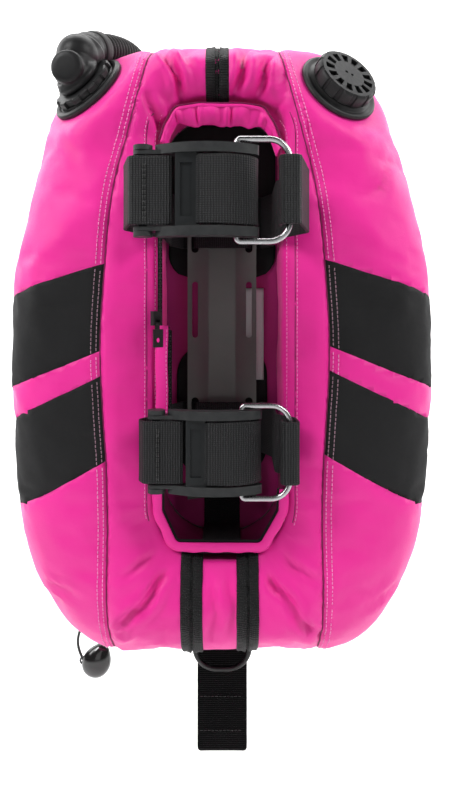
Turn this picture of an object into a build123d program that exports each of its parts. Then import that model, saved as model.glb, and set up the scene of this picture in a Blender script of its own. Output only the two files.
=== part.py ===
from build123d import *
import math
import os

# Back-inflation buoyancy vest: ring-shaped air cell, single-cylinder adapter, two cam bands and a harness.
# Millimetres. +X is to the right as seen from the cylinder side, +Y points at the wearer, +Z is up.
# The origin is the front face of the cylinder adapter, midway between its two mounting bolts.

os.makedirs("parts", exist_ok=True)

# ---------------------------------------------------------------- driving dimensions
WEBBING = 50.0             # width of every harness and band strap
WEB_THICK = 2.5
BOLT_SPACING = 279.4       # 11 inches, the standard for cylinder adapters
BOLT_R = 4.0
BOLT_HOLE_R = 4.25
SPARE_RISE = 25.4          # the second pair of bolt holes sits one inch higher

WING_FRONT = -98.0         # foremost face of the inflated air cell
WING_BACK = 8.0
WING_TOP = 267.0
WING_BOTTOM = -279.0
OUTER_ROUND = 38.0
INNER_ROUND = 15.0
COVER = 1.2                # fabric of the outer cover
BLADDER_INSET = 1.5        # the inner bladder lies this far inside the cover's face
PERIMETER_SEAM = -20.0     # front and back covers are sewn together here

WELL_HALF = 52.0           # the opening in the middle of the air cell
WELL_TOP = 210.0
WELL_BOTTOM = -178.0

SHEET = 3.0                # adapter and backplate metal
PANEL_FRONT = 4.4          # centre panel of the air cell
PLATE_FRONT = 12.0
SPINE_HALF = 32.0
PLATE_BEND = 10.0          # degrees each side of the backplate leans towards the wearer

UPPER_BAND_Z = 116.0
LOWER_BAND_Z = -81.5

LINE_END = 400.0           # reach of cutting prisms, larger than the vest


# ---------------------------------------------------------------- helpers
def save(node, *solids):
    """Write one node, which may be several separate solids."""
    shape = solids[0] if len(solids) == 1 else Compound(children=list(solids))
    shape.label = node
    export_step(shape, f"parts/{node}.step")


def box(x0, x1, y0, y1, z0, z1):
    """A box given by its limits."""
    return Pos((x0 + x1) / 2, (y0 + y1) / 2, (z0 + z1) / 2) * Box(x1 - x0, y1 - y0, z1 - z0)


def prism_y(points, y0, y1):
    """A polygon of (x, z) points extruded from y0 to y1."""
    wire = Polyline(*[(x, y0, z) for x, z in points], close=True)
    return Solid.extrude(Face(Wire(wire.edges())), Vector(0, y1 - y0, 0))


def mirrored(points):
    """A closed outline from its right half, listed from top to bottom."""
    return points + [(-x, z) for x, z in reversed(points)]


def ribbon(points, radii, width, across):
    """A flat strap: its section follows a planar route, and its width lies along across."""
    route = FilletPolyline(*points, radius=radii)
    start = Plane(origin=route @ 0, x_dir=across, z_dir=route % 0)
    return sweep(start * Rectangle(width, WEB_THICK), path=route)


def rod(start, end, radius):
    """A round bar from one point to another."""
    span = Vector(*end) - Vector(*start)
    plane = Plane(origin=start, z_dir=span)
    return extrude(plane * Circle(radius), span.length)


def wire_bar(points, radii, radius):
    """A bent round bar."""
    route = FilletPolyline(*points, radius=radii)
    return sweep(Plane(origin=route @ 0, z_dir=route % 0) * Circle(radius), path=route)


def disc(radius, z0, z1, bore=0.0):
    """A disc or ring about the local Z axis."""
    body = Pos(0, 0, (z0 + z1) / 2) * Cylinder(radius, z1 - z0)
    if bore:
        body -= Pos(0, 0, (z0 + z1) / 2) * Cylinder(bore, z1 - z0 + 2)
    return body


# ---------------------------------------------------------------- air cell
WING_CORNERS = [  # right half of the outline: x, z and the corner's radius
    (84, WING_TOP, 100), (152, 208, 120), (189, 60, 300),
    (189, -60, 400), (178, -190, 150), (128, WING_BOTTOM, 80),
]
WELL_CORNERS = [(WELL_HALF, WELL_TOP, 35), (WELL_HALF, WELL_BOTTOM, 45)]
SEAM_HALF = [(54, 300), (66, 208), (88, 122), (98, 0), (88, -126), (90, -228), (84, -310)]
BANDS_HALF = [  # the black side bands: inner top, outer top, outer bottom, inner bottom
    [(60, 82), (240, 27), (240, -59), (60, 13)],
    [(60, -4), (240, -92), (240, -176), (60, -75)],
]


def rounded_outline(corners, y):
    """A closed symmetric outline with an arc at every corner, in the plane at y."""
    points = [(x, y, z) for x, z, _ in corners] + [(-x, y, z) for x, z, _ in reversed(corners)]
    radii = [r for _, _, r in corners]
    wire = FilletPolyline(*points, radius=radii + radii[::-1], close=True)
    return Face(Wire(wire.edges()))


def inflated_ring(inset):
    """The inflated ring, with every face moved inwards by inset."""
    y0 = WING_FRONT + inset
    y1 = WING_BACK - inset
    depth = Vector(0, y1 - y0, 0)
    outside = Solid.extrude(offset(rounded_outline(WING_CORNERS, y0), -inset).face(), depth)
    well = Solid.extrude(offset(rounded_outline(WELL_CORNERS, y0), inset).face(), depth)
    outside = fillet(outside.faces().filter_by(Axis.Y).edges(), OUTER_ROUND - inset)
    ring = outside - well
    rims = [
        e for e in ring.edges()
        if abs(e.center().X) < WELL_HALF + inset + 1
        and WELL_BOTTOM - inset - 1 < e.center().Z < WELL_TOP + inset + 1
        and (abs(e.center().Y - y0) < 0.1 or abs(e.center().Y - y1) < 0.1)
    ]
    return fillet(rims, INNER_ROUND - inset)


def valve_seat(place, radius, height):
    """The space that a valve's flange and the stem under it need on the air cell."""
    return place * (disc(radius, -0.3, height) + disc(3.2, -7, 0))


ELBOW = Plane(origin=(-116, -62, 224), z_dir=(-0.55, -0.60, 0.58)).location
DUMP = Plane(origin=(101, -73, 222), z_dir=(0.42, -0.76, 0.50)).location
REAR_DUMP = Plane(origin=(-118, 6.5, -205), x_dir=(1, 0, 0), z_dir=(0, 1, 0)).location


def air_cell():
    seats = valve_seat(ELBOW, 37, 70) + valve_seat(DUMP, 37, 70) + valve_seat(REAR_DUMP, 32, 30)
    bladder = inflated_ring(BLADDER_INSET) - seats
    cover = inflated_ring(0) - inflated_ring(COVER) - seats
    front = cover & box(-LINE_END, LINE_END, -LINE_END, PERIMETER_SEAM, -LINE_END, LINE_END)
    back = cover & box(-LINE_END, LINE_END, PERIMETER_SEAM, LINE_END, -LINE_END, LINE_END)
    middle = prism_y(mirrored(SEAM_HALF), -LINE_END, PERIMETER_SEAM)
    save("bladder", bladder)
    save("back_cover", *back.solids())
    save("front_cover", *(front & middle).solids())
    sides = front - middle
    for side, sign in (("left", -1), ("right", 1)):
        half = sides & box(min(0, sign * LINE_END), max(0, sign * LINE_END),
                           -LINE_END, LINE_END, -LINE_END, LINE_END)
        bands = [prism_y([(sign * x, z) for x, z in band], -LINE_END, PERIMETER_SEAM)
                 for band in BANDS_HALF]
        black = [s for band in bands for s in (half & band).solids()]
        save(f"side_bands_{side}", *black)
        save(f"side_panels_{side}", *(half - bands[0] - bands[1]).solids())


ZIP_HALF = 11.0
ZIP_LIFT = 0.3             # gap between a zip tape and the cover under it
ZIP_THICK = 1.0


def zips():
    """Zip tapes that lie on the front of the cover."""
    skin = inflated_ring(-ZIP_LIFT - ZIP_THICK) - inflated_ring(-ZIP_LIFT)
    top = box(-ZIP_HALF - 3, ZIP_HALF - 3, -LINE_END, -60, 200, 290)
    save("zip_top", *(skin & top).solids())
    lower = []
    for middle in (-24.0, 26.0):
        lower += (skin & box(middle - ZIP_HALF, middle + ZIP_HALF, -LINE_END, -60, -300, -172)).solids()
    save("zips_bottom", *lower)
    edge = box(-64, -54, -LINE_END, -84, -120, 150)
    save("inner_zip", *(skin & edge).solids())


ZIP_SLIDER_Z = 24.0
SLIDER_SPOT = Pos(-53.7, -96.3, ZIP_SLIDER_Z) * Rot(0, 0, 45)   # on the well's rounded left edge


def zip_slider():
    """Slider on the inner zip and its hanging pull; the local -Y axis points off the fabric."""
    body = Box(9, 4, 12) - Pos(0, -1, -4) * Box(5, 5.4, 6)
    pin = rod((-4.5, -0.7, -4.5), (4.5, -0.7, -4.5), 0.8)
    save("inner_zip_slider", SLIDER_SPOT * (body + pin))
    eye = Pos(0, -0.7, -4.5) * Rot(0, 90, 0) * (Cylinder(1.5, 4.4) - Cylinder(0.86, 6))
    tab = box(-2.2, 2.2, -1.9, -0.7, -13, -5.9) + box(-5, 5, -3.1, -1.9, -24, -9)
    tab -= Pos(0, -2.5, -18) * Rot(90, 0, 0) * Cylinder(2, 6)
    save("inner_zip_pull", SLIDER_SPOT * (eye + tab - Pos(0, -0.7, -4.5) * Rot(0, 90, 0) * Cylinder(0.86, 9)))


def rounded_sheet(half, y0, y1, z0, z1, corner):
    """A flat sheet facing the cylinder, with round corners."""
    sheet = box(-half, half, y0, y1, z0, z1)
    return fillet(sheet.edges().filter_by(Axis.Y), corner)


def well_trim():
    """Centre panel, its black patches, the gathered hem and the centre strap."""
    panel = rounded_sheet(50, PANEL_FRONT, PANEL_FRONT + 2, -174, 206, 34)
    patches = [rounded_sheet(46, 3.2, 4.2, 62, 202, 32), rounded_sheet(44, 3.2, 4.2, -130, -1, 38)]
    holes = [Pos(0, 5, z) * Rot(90, 0, 0) * Cylinder(BOLT_HOLE_R + 0.5, 12) for z in bolt_heights(True)]
    for hole in holes:
        panel -= hole
        patches = [patch - hole for patch in patches]
    save("centre_panel", panel)
    save("centre_patches", *patches)
    hem = box(-36, 36, -80, -68, 186, 206) - box(-29, 29, -85, -60, 180, 199)
    hem = fillet(hem.edges().filter_by(Axis.Y).group_by(Axis.Z)[-1], 16)
    save("elastic_hem", hem)
    save("centre_strap", box(-18, 18, 1.4, 3.0, -172, -152))


def bolt_heights(with_spares):
    heights = [BOLT_SPACING / 2, -BOLT_SPACING / 2]
    if with_spares:
        heights += [z + SPARE_RISE for z in heights]
    return heights


# ---------------------------------------------------------------- cylinder adapter and backplate
FACET_HALF = 13.0
RAIL_EDGE = 33.0
RAIL_SLOPE = math.tan(math.radians(22))
RAIL_SLOT_X = 26.0
BEND_RADIUS = 6.0


def long_hole(width, length):
    """A cutter for a slot along Z with round ends, through a plate that faces Y."""
    end = Rot(90, 0, 0) * Cylinder(width / 2, 30)
    reach = (length - width) / 2
    return Box(width, 30, 2 * reach) + Pos(0, 0, reach) * end + Pos(0, 0, -reach) * end


def cylinder_adapter():
    """Bent plate: a flat middle and two rails that lean out to cradle the cylinder."""
    rise = (RAIL_EDGE - FACET_HALF) * RAIL_SLOPE
    front = [(-RAIL_EDGE, -rise), (-FACET_HALF, 0), (FACET_HALF, 0), (RAIL_EDGE, -rise)]
    section = front + [(x, y + SHEET) for x, y in reversed(front)]
    bottom, top = -150, 152
    wire = Polyline(*[(x, y, bottom) for x, y in section], close=True)
    plate = Solid.extrude(Face(Wire(wire.edges())), Vector(0, 0, top - bottom))
    upright = plate.edges().filter_by(Axis.Z)
    bends = upright.filter_by(lambda edge: abs(abs(edge.center().X) - FACET_HALF) < 0.1)
    plate = fillet(bends, BEND_RADIUS)
    for z, width, length in ((UPPER_BAND_Z, 7, 58), (32, 5.5, 54), (LOWER_BAND_Z - 8, 7, 74)):
        for x in (-RAIL_SLOT_X, RAIL_SLOT_X):
            plate -= Pos(x, 0, z) * long_hole(width, length)
    for z in bolt_heights(False):
        plate -= Pos(0, 0, z) * Rot(90, 0, 0) * Cylinder(BOLT_HOLE_R, 12)
    save("tank_adapter", plate)


def adapter_fasteners():
    """Two domed bolts with washers and wing nuts on the wearer's side."""
    back = PLATE_FRONT + SHEET
    bolts, washers, nuts = [], [], []
    for z in bolt_heights(False):
        place = Pos(0, 0, z) * Rot(-90, 0, 0)        # local Z runs along +Y
        head = fillet(disc(8, -4, 0).edges().group_by(Axis.Z)[0], 3)
        bolts.append(place * (head + disc(BOLT_R, 0, back + 11)))
        washers.append(place * disc(9, back + 0.05, back + 1.6, BOLT_R + 0.3))
        hub = disc(7.5, back + 1.7, back + 9, BOLT_R + 0.02)
        wings = Pos(0, 0, back + 7) * Box(34, 3, 9) - disc(7, back, back + 20)
        nuts.append(place * (hub + wings - disc(BOLT_R + 0.02, back, back + 20)))
    save("adapter_bolts", *bolts)
    save("adapter_washers", *washers)
    save("adapter_wing_nuts", *nuts)


def side_frame(sign):
    """Frame on one side of the backplate: local Y is square to the bent plate."""
    return Pos(sign * SPINE_HALF, PLATE_FRONT, 0) * Rot(0, 0, sign * PLATE_BEND)


PLATE_TOP = 205.0
PLATE_FOOT = -171.0
SHOULDER_SLOT_Z = 187.0
STRAP_X = 50.0             # middle of a shoulder strap, in a side frame
WAIST_SLOT_X = 82.0
WAIST_Z = -110.0
CROTCH_SLOT_Z = -158.0


def backplate():
    plate = box(-SPINE_HALF, SPINE_HALF, PLATE_FRONT, PLATE_FRONT + SHEET, PLATE_FOOT, PLATE_TOP)
    for sign in (-1, 1):
        wing = box(-0.5, 88, 0, SHEET, PLATE_FOOT + 22, PLATE_TOP)
        if sign < 0:
            wing = mirror(wing, about=Plane.YZ)
        slots = [Pos(sign * STRAP_X, 0, SHOULDER_SLOT_Z) * Box(54, 20, 16),
                 Pos(sign * STRAP_X, 0, -107) * Box(54, 20, 16),
                 Pos(sign * WAIST_SLOT_X, 0, WAIST_Z) * Box(7, 20, 54)]
        for slot in slots:
            wing -= slot
        plate += side_frame(sign) * wing
    outline = mirrored([(90, PLATE_TOP), (118, 165), (117, 40), (119, -84), (119, -140),
                        (80, -150), (36, PLATE_FOOT)])
    plate &= prism_y(outline, -20, 80)
    for z in bolt_heights(True):
        plate -= Pos(0, PLATE_FRONT, z) * Rot(90, 0, 0) * Cylinder(BOLT_HOLE_R, 20)
    plate -= Pos(0, PLATE_FRONT, CROTCH_SLOT_Z) * Box(54, 20, 10)
    save("backplate", plate)


# ---------------------------------------------------------------- cam bands
POST_R = 3.5
POST_PLAY = 0.06
LEVER_START = 9.0
LEVER_END = 84.0
LEVER_BOW = 12.0           # the cheeks bow away from the wearer by this much
LEVER_MID = (LEVER_START + LEVER_END) / 2
CHEEK_IN = 26.0
CHEEK_OUT = 33.0
EAR = 3.0                  # thickness of the ears that hold the post
BAR_REACH = CHEEK_IN + 1
RING_HOOK_X = 68.0
RING_BAR_X = 106.0
RING_Y = -5.0
RING_WIRE_R = 2.3
HOOK_GAP = 0.7             # the ring's hooks end this far from the cheeks


class CamBand:
    """Places one band. Its local frame: origin on the pivot post, +X along the lever, +Y to the wearer."""

    def __init__(self, name, post_x, post_y, z, flare):
        self.name = name
        self.z = z
        self.flare = flare         # corners where the webbing is widest, ahead of the air cell
        self.post_x = post_x
        self.post_y = post_y
        self.place = Pos(post_x, post_y, z)

    def at(self, x, y):
        """World position of a local point, at mid width of the webbing."""
        return (self.post_x + x, self.post_y + y, self.z)

    def webbing(self):
        """From the fold round the post, through the adapter's slots, to the fold round the ring's bar."""
        left = [(x, y, self.z) for x, y in self.flare[0]]
        right = [(x, y, self.z) for x, y in self.flare[1]]
        behind = [(48, -24, self.z), (38, -0.5, self.z), (28, 1.0, self.z), (25, -6.6, self.z)]
        fold = 6.5
        points = [self.at(21.5, -fold), self.at(-9, -fold)] + left
        points += [(-x, y, z) for x, y, z in behind] + behind[::-1] + right
        points += [self.at(RING_BAR_X + fold, RING_Y - fold), self.at(RING_BAR_X - fold, RING_Y - fold),
                   self.at(RING_BAR_X - fold, RING_Y + fold)]
        radii = [5] + [9] * len(left) + [9, 4, 1.8, 1.8, 1.8, 1.8, 4, 9] + [9] * len(right) + [4.5, 4.5]
        save(f"{self.name}_band_webbing", ribbon(points, radii, WEBBING, (0, 0, 1)))

    def pivot_post(self):
        shank = disc(POST_R, -CHEEK_OUT, CHEEK_OUT)
        head_in = CHEEK_IN + EAR + 0.3
        heads = disc(7, head_in, CHEEK_OUT) + disc(7, -CHEEK_OUT, -head_in)
        save(f"{self.name}_pivot_post", self.place * (shank + heads))

    def cheek(self):
        """One bowed side plate of the lever, lying on the local XY plane."""
        front = ThreePointArc((LEVER_START, -3), (LEVER_MID, -3 - LEVER_BOW), (LEVER_END, -3))
        back = ThreePointArc((LEVER_END, 7), (LEVER_MID, -2), (LEVER_START, 7))
        outline = Wire([front.edge(), Line((LEVER_END, -3), (LEVER_END, 7)).edge(),
                        back.edge(), Line((LEVER_START, 7), (LEVER_START, -3)).edge()])
        plate = Solid.extrude(Face(outline), Vector(0, 0, CHEEK_OUT - CHEEK_IN))
        return fillet(plate.edges().filter_by(Axis.Z), 4.5)

    def lever(self):
        """Two cheeks joined by bars, hinged on the post by thin ears."""
        ear = box(-7, LEVER_START + 5, -6, 6, 0, EAR)
        ear = fillet(ear.edges().filter_by(Axis.Z).group_by(Axis.X)[0], 5.5)
        upper_side = Pos(0, 0, CHEEK_IN) * (self.cheek() + ear)
        body = upper_side + mirror(upper_side, about=Plane.XY)
        grip = box(24, 39.5, -10.5, -3, -BAR_REACH, BAR_REACH)
        grip -= box(27.5, 36, -12, -9, -19, 19)
        body += grip
        body += box(50, 55, -9.5, -4.5, -BAR_REACH, BAR_REACH)
        body += box(75, 80, -1, 5, -BAR_REACH, BAR_REACH)
        body -= Cylinder(POST_R + POST_PLAY, 90)
        save(f"{self.name}_buckle_lever", self.place * body)

    def lever_webbing(self):
        """The ribbed strap threaded through the lever, lying over its bars."""
        points = [(40.5, -11.8, 0), (62, -11.8, 0), (80, -2.8, 0)]
        pad = ribbon(points, [40], WEBBING, (0, 0, 1))
        save(f"{self.name}_lever_webbing", self.place * pad)

    def wire_ring(self):
        hook = CHEEK_OUT + HOOK_GAP
        top = hook + 3.0
        points = [(RING_HOOK_X, RING_Y, hook), (RING_HOOK_X, RING_Y, top), (RING_BAR_X, RING_Y, top),
                  (RING_BAR_X, RING_Y, -top), (RING_HOOK_X, RING_Y, -top), (RING_HOOK_X, RING_Y, -hook)]
        ring = wire_bar(points, [2.9, 15, 15, 2.9], RING_WIRE_R)
        save(f"{self.name}_wire_ring", self.place * ring)

    def build(self):
        self.webbing()
        self.pivot_post()
        self.lever()
        self.lever_webbing()
        self.wire_ring()


# ---------------------------------------------------------------- valves, hose and inflator
HOSE_R = 15.0
HOSE_ROUTE = [
    (-113, -46, 266), (-99, -12, 280), (-84, 27, 276), (-99, 52, 239),
    (-128, 58, 198), (-132, 57, 135), (-131, 56, 56),
]
DUMP_CORD_R = 1.5
DUMP_CORD_ROUTE = [
    (-118, 22, -232), (-124, 25, -250), (-134, 27, -268),
    (-143, 26, -287), (-147, 24, -307), (-139, 23, -320),
]


def cord_radii(points):
    """The largest arc at each corner of a cord's route: 0.45 of the shorter run over tan(half the turn)."""
    radii = []
    for before, here, after in zip(points, points[1:], points[2:]):
        first = Vector(*here) - Vector(*before)
        second = Vector(*after) - Vector(*here)
        half = math.radians(first.get_angle(second) / 2)
        radii.append(0.45 * min(first.length, second.length) / math.tan(half))
    return radii


def cord_tube(name, points, radius):
    radii = cord_radii(points)
    tube = wire_bar(points, radii, radius)
    length = tube.volume / (math.pi * radius ** 2)
    print(f"{name}: length {length:.0f} mm, bend radii {[round(r) for r in radii]}")
    save(name, tube)


def shoulder_elbow():
    """Screwed-on elbow that carries the inflator hose."""
    flange = fillet(disc(36, 0, 5).edges().group_by(Axis.Z)[-1], 2.5)
    save("elbow_flange", ELBOW * flange)
    collar = disc(27, 5.1, 11.5, 18.5)
    for k in range(8):
        collar += Rot(0, 0, 45 * k) * box(26, 29, -4, 4, 5.1, 10)
    save("elbow_collar", ELBOW * collar)
    bend = 22.0
    centre = (ELBOW * Pos(0, 0, bend)).position
    neck = ELBOW * disc(18, 5.1, bend)
    exit_point = Vector(*HOSE_ROUTE[0])
    way = (Vector(*HOSE_ROUTE[1]) - exit_point).normalized()
    outlet_start = exit_point - way * 16
    outlet = rod(outlet_start, exit_point, 15.8) + Pos(outlet_start) * Sphere(15.8)
    outlet += rod(centre, outlet_start, 15.8)
    body = neck + Pos(centre) * Sphere(18) + outlet
    body -= ELBOW * (disc(40, -10, 5.1) + disc(32, 5, 11.8, 18.2))      # clear of the flange and the collar
    save("elbow_body", body)


def dump_valve(name, place, size, cap_rise):
    """Flange, slotted cap, spring and sealing disc of a purge valve, built about the local Z axis."""
    flange = disc(size, 0, 4) + disc(size - 9, 4, 6) - disc(12, -1, 9)
    save(f"{name}_flange", place * flange)
    top = 6.1 + cap_rise
    cap_r = size - 8
    cap = disc(cap_r, 6.1, top) - disc(cap_r - 3, 5, top - 3)
    for k in range(12):
        cap -= Rot(0, 0, 30 * k) * Pos(cap_r - 8, 0, top) * Box(6, 3.4, 10)
    cap -= Pos(2.8, 0, top) * Cylinder(1.2, 10)
    cap -= Pos(-2.8, 0, top) * Cylinder(1.2, 10)
    save(f"{name}_cap", place * cap)
    save(f"{name}_poppet", place * (disc(15, 6.2, 7.7) + disc(2.2, -4, 6.3)))
    save(f"{name}_spring", place * disc(8, 7.8, top - 3.1, 7))


def dump_knob():
    """Pear-shaped pull on the rear valve's cord."""
    profile = [(0, -17), (9, -15.5), (14.5, -8), (14, 1), (8.5, 10), (5.5, 17), (0, 17)]
    wire = Polyline(*[(x, 0, z) for x, z in profile], close=True)
    pear = revolve(Face(Wire(wire.edges())), Axis.Z)
    pear = scale(pear, by=(1, 0.7, 1))
    pear = Pos(-124, 23, -320) * Rot(0, 24, 0) * pear
    save("dump_knob", pear - rod(DUMP_CORD_ROUTE[-2], DUMP_CORD_ROUTE[-1], DUMP_CORD_R + 0.5))


INFLATOR_TOP = 56.0
INFLATOR_FOOT = -36.0
INFLATOR_X = -131.0
INFLATOR_Y = 56.0


def power_inflator():
    """Hand inflator that hangs on the hose's end."""
    place = Pos(INFLATOR_X, INFLATOR_Y, 0)
    body = disc(16.5, INFLATOR_TOP - 14, INFLATOR_TOP - 0.2) + disc(15, INFLATOR_FOOT, INFLATOR_TOP - 14)
    body += box(-11, 11, 0, 19, INFLATOR_FOOT + 6, INFLATOR_TOP - 22)
    body -= Pos(0, 15, -2) * Rot(90, 0, 0) * Cylinder(7.6, 10.2)
    body -= Pos(0, 0, INFLATOR_FOOT) * Cylinder(7.6, 14)
    save("inflator_body", place * body)
    button = Pos(0, 19.5, -2) * Rot(90, 0, 0) * Cylinder(7.5, 9)
    save("inflate_button", place * fillet(button.edges().group_by(Axis.Y)[-1], 1.5))
    purge = Pos(0, 0, INFLATOR_FOOT - 1.5) * Cylinder(7.5, 9)
    save("deflate_button", place * fillet(purge.edges().group_by(Axis.Z)[0], 1.5))
    nipple_r = 4.5
    nipple = Rot(0, -90, 0) * (disc(7, 15.2, 20) + disc(nipple_r, 20, 32))
    save("inflator_nipple", place * Pos(0, 0, 16) * nipple)
    mouth = Rot(90, 0, 0) * (disc(8, 15.5, 27) + disc(13, 27, 31))
    mouth -= Rot(90, 0, 0) * disc(5, 20, 40)
    save("mouthpiece", place * Pos(0, 0, -22) * scale(mouth, by=(1, 1, 0.8)))


# ---------------------------------------------------------------- harness
SHOULDER_ROUTE = [(-2.6, 150), (-2.6, 183), (9, 191), (62, 226), (84, 318), (122, 318),
                  (146, 235), (146, -20), (112, -84), (9, -104), (-2.6, -111), (-2.6, -142)]
SHOULDER_RADII = [4, 4, 24, 15, 18, 60, 60, 30, 4, 4]
D_RING_Z = 150.0


def shoulder_straps():
    for side, sign in (("left", -1), ("right", 1)):
        points = [(sign * STRAP_X, y, z) for y, z in SHOULDER_ROUTE]
        strap = ribbon(points, SHOULDER_RADII, WEBBING, (1, 0, 0))
        save(f"shoulder_strap_{side}", side_frame(sign) * strap)


def d_ring_keeper():
    """Slide that holds a ring's bar on a strap; local X runs along the bar, local Y off the strap."""
    slide = Box(62, 8, 14) - Box(51, WEB_THICK + 0.8, 20)
    barrel = Rot(0, 90, 0) * Cylinder(4.6, 44)
    slide += Pos(0, 7.2, 0) * barrel
    return slide - Pos(0, 7.2, 0) * Rot(0, 90, 0) * Cylinder(2.56, 70)


def d_ring(drop):
    """A bent ring hanging from its straight bar."""
    half = 27.0
    bar = rod((-half, 7.2, 0), (half, 7.2, 0), 2.5)
    bow = wire_bar([(-half, 7.2, 0), (-half, 7.2, -drop), (half, 7.2, -drop), (half, 7.2, 0)],
                   [drop * 0.8, drop * 0.8], 2.5)
    corners = Pos(-half, 7.2, 0) * Sphere(2.5) + Pos(half, 7.2, 0) * Sphere(2.5)
    return bar + bow + corners


CROTCH_Y = 19.5
CROTCH_FOOT = -409.0
CROTCH_RING_Z = -296.0


def harness_hardware():
    keepers = []
    for side, sign in (("left", -1), ("right", 1)):
        place = side_frame(sign) * Pos(sign * STRAP_X, 146, D_RING_Z)
        keepers.append(place * d_ring_keeper())
        save(f"shoulder_d_ring_{side}", place * d_ring(40))
    lower = Pos(0, CROTCH_Y, CROTCH_RING_Z) * Rot(0, 0, 180)
    keepers.append(lower * d_ring_keeper())
    save("crotch_d_ring", lower * d_ring(27))
    save("strap_keepers", *keepers)


BELT_FRONT = 168.0
BUCKLE_FRONT = BELT_FRONT + WEB_THICK / 2


def waist_belt():
    """Belt closed in front of the wearer, threaded through the outer slots of the backplate."""
    start = [(side_frame(1) * Pos(76.5, -2.6, 0)).position, (side_frame(1) * Pos(81, -2.6, 0)).position,
             (side_frame(1) * Pos(86, 9, 0)).position]
    right = [(p.X, p.Y, WAIST_Z) for p in start] + [(136, 95, WAIST_Z), (100, BELT_FRONT, WAIST_Z)]
    points = right + [(-x, y, z) for x, y, z in reversed(right)]
    radii = [2.5, 12, 40, 30, 30, 40, 12, 2.5]
    save("waist_strap", ribbon(points, radii, WEBBING, (0, 0, 1)))


HINGE_X = -20.0


def waist_buckle():
    """Steel buckle: a frame on the belt and a clamping lever that swings away from the wearer."""
    y0 = BUCKLE_FRONT + 0.3
    frame = box(-26, 26, y0, y0 + 3, -31, 31) - box(-8, 18, y0 - 1, y0 + 4, -26, 26)
    for z in (-29, 29):
        frame += box(HINGE_X - 4, HINGE_X + 4, y0 + 2, y0 + 10, z - 2, z + 2)
    frame += Pos(HINGE_X, y0 + 7, 0) * Cylinder(2, 60)
    place = Pos(0, 0, WAIST_Z)
    save("waist_buckle_frame", place * frame)
    lever = Pos(HINGE_X, y0 + 7, 0) * Cylinder(3.6, 53) + box(HINGE_X, 26, y0 + 4.5, y0 + 7.5, -26.5, 26.5)
    lever -= Pos(HINGE_X, y0 + 7, 0) * Cylinder(2.06, 80)
    save("waist_buckle_lever", place * lever)


def crotch_strap():
    """Strap that hangs from the backplate's foot, with its tail folded back on the wearer's side."""
    ahead = (PANEL_FRONT + 2 + PLATE_FRONT) / 2
    points = [(0, ahead, -147), (0, ahead, -154), (0, CROTCH_Y, -164), (0, CROTCH_Y, CROTCH_FOOT),
              (0, CROTCH_Y + 8, CROTCH_FOOT), (0, CROTCH_Y + 8, -322)]
    save("crotch_strap", ribbon(points, [4, 6, 3.9, 3.9], WEBBING, (1, 0, 0)))


# ---------------------------------------------------------------- build
air_cell()
zips()
zip_slider()
well_trim()
cylinder_adapter()
adapter_fasteners()
backplate()
CamBand("upper", -55.5, -170, UPPER_BAND_Z,
        ([(-73, -142), (-47.5, -84)], [(47.5, -84), (69, -128)])).build()
CamBand("lower", -51, -120, LOWER_BAND_Z,
        ([(-66, -114), (-46, -86)], [(46.5, -86), (60.5, -106)])).build()
shoulder_elbow()
cord_tube("inflator_hose", HOSE_ROUTE, HOSE_R)
power_inflator()
dump_valve("shoulder_dump", DUMP, 36, 12)
dump_valve("rear_dump", REAR_DUMP, 31, 9)
cord_tube("dump_cord", DUMP_CORD_ROUTE, DUMP_CORD_R)
dump_knob()
shoulder_straps()
harness_hardware()
waist_belt()
waist_buckle()
crotch_strap()
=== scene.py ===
"""Looks of the back-inflation buoyancy vest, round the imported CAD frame. Metres, +Y towards the wearer."""
import bmesh
import bpy
import math
import numpy as np
from mathutils import Matrix, Vector, noise
from mathutils.bvhtree import BVHTree


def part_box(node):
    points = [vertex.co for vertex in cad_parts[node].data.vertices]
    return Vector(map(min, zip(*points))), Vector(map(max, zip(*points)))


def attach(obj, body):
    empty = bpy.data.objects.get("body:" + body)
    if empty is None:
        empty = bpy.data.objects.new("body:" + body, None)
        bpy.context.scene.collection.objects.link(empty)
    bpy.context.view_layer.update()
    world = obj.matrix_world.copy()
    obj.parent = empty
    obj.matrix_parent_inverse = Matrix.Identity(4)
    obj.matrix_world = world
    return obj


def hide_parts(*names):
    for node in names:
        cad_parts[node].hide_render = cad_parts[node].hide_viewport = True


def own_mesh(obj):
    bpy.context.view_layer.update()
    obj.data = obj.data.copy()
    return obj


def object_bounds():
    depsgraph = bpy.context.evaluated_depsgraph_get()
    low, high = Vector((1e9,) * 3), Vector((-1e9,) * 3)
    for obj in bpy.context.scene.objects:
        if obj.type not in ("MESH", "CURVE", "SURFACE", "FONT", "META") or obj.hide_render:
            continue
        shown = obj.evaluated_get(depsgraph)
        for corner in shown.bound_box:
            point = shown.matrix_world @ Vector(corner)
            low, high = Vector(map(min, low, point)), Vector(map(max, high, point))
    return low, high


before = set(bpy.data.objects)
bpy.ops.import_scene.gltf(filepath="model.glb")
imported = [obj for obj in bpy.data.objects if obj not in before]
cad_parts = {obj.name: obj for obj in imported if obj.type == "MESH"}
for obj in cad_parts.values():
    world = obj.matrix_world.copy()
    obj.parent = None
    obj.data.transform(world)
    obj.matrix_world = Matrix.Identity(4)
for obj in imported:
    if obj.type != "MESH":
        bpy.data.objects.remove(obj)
cad_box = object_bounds()
MM = 0.001
ROOT = "vest"


# ---------------------------------------------------------------- camera, floor and light
CAMERA_AT = (0.0068, -0.667, 0.026)
LENS = 30.9
SHIFT_Y = -0.105


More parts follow.
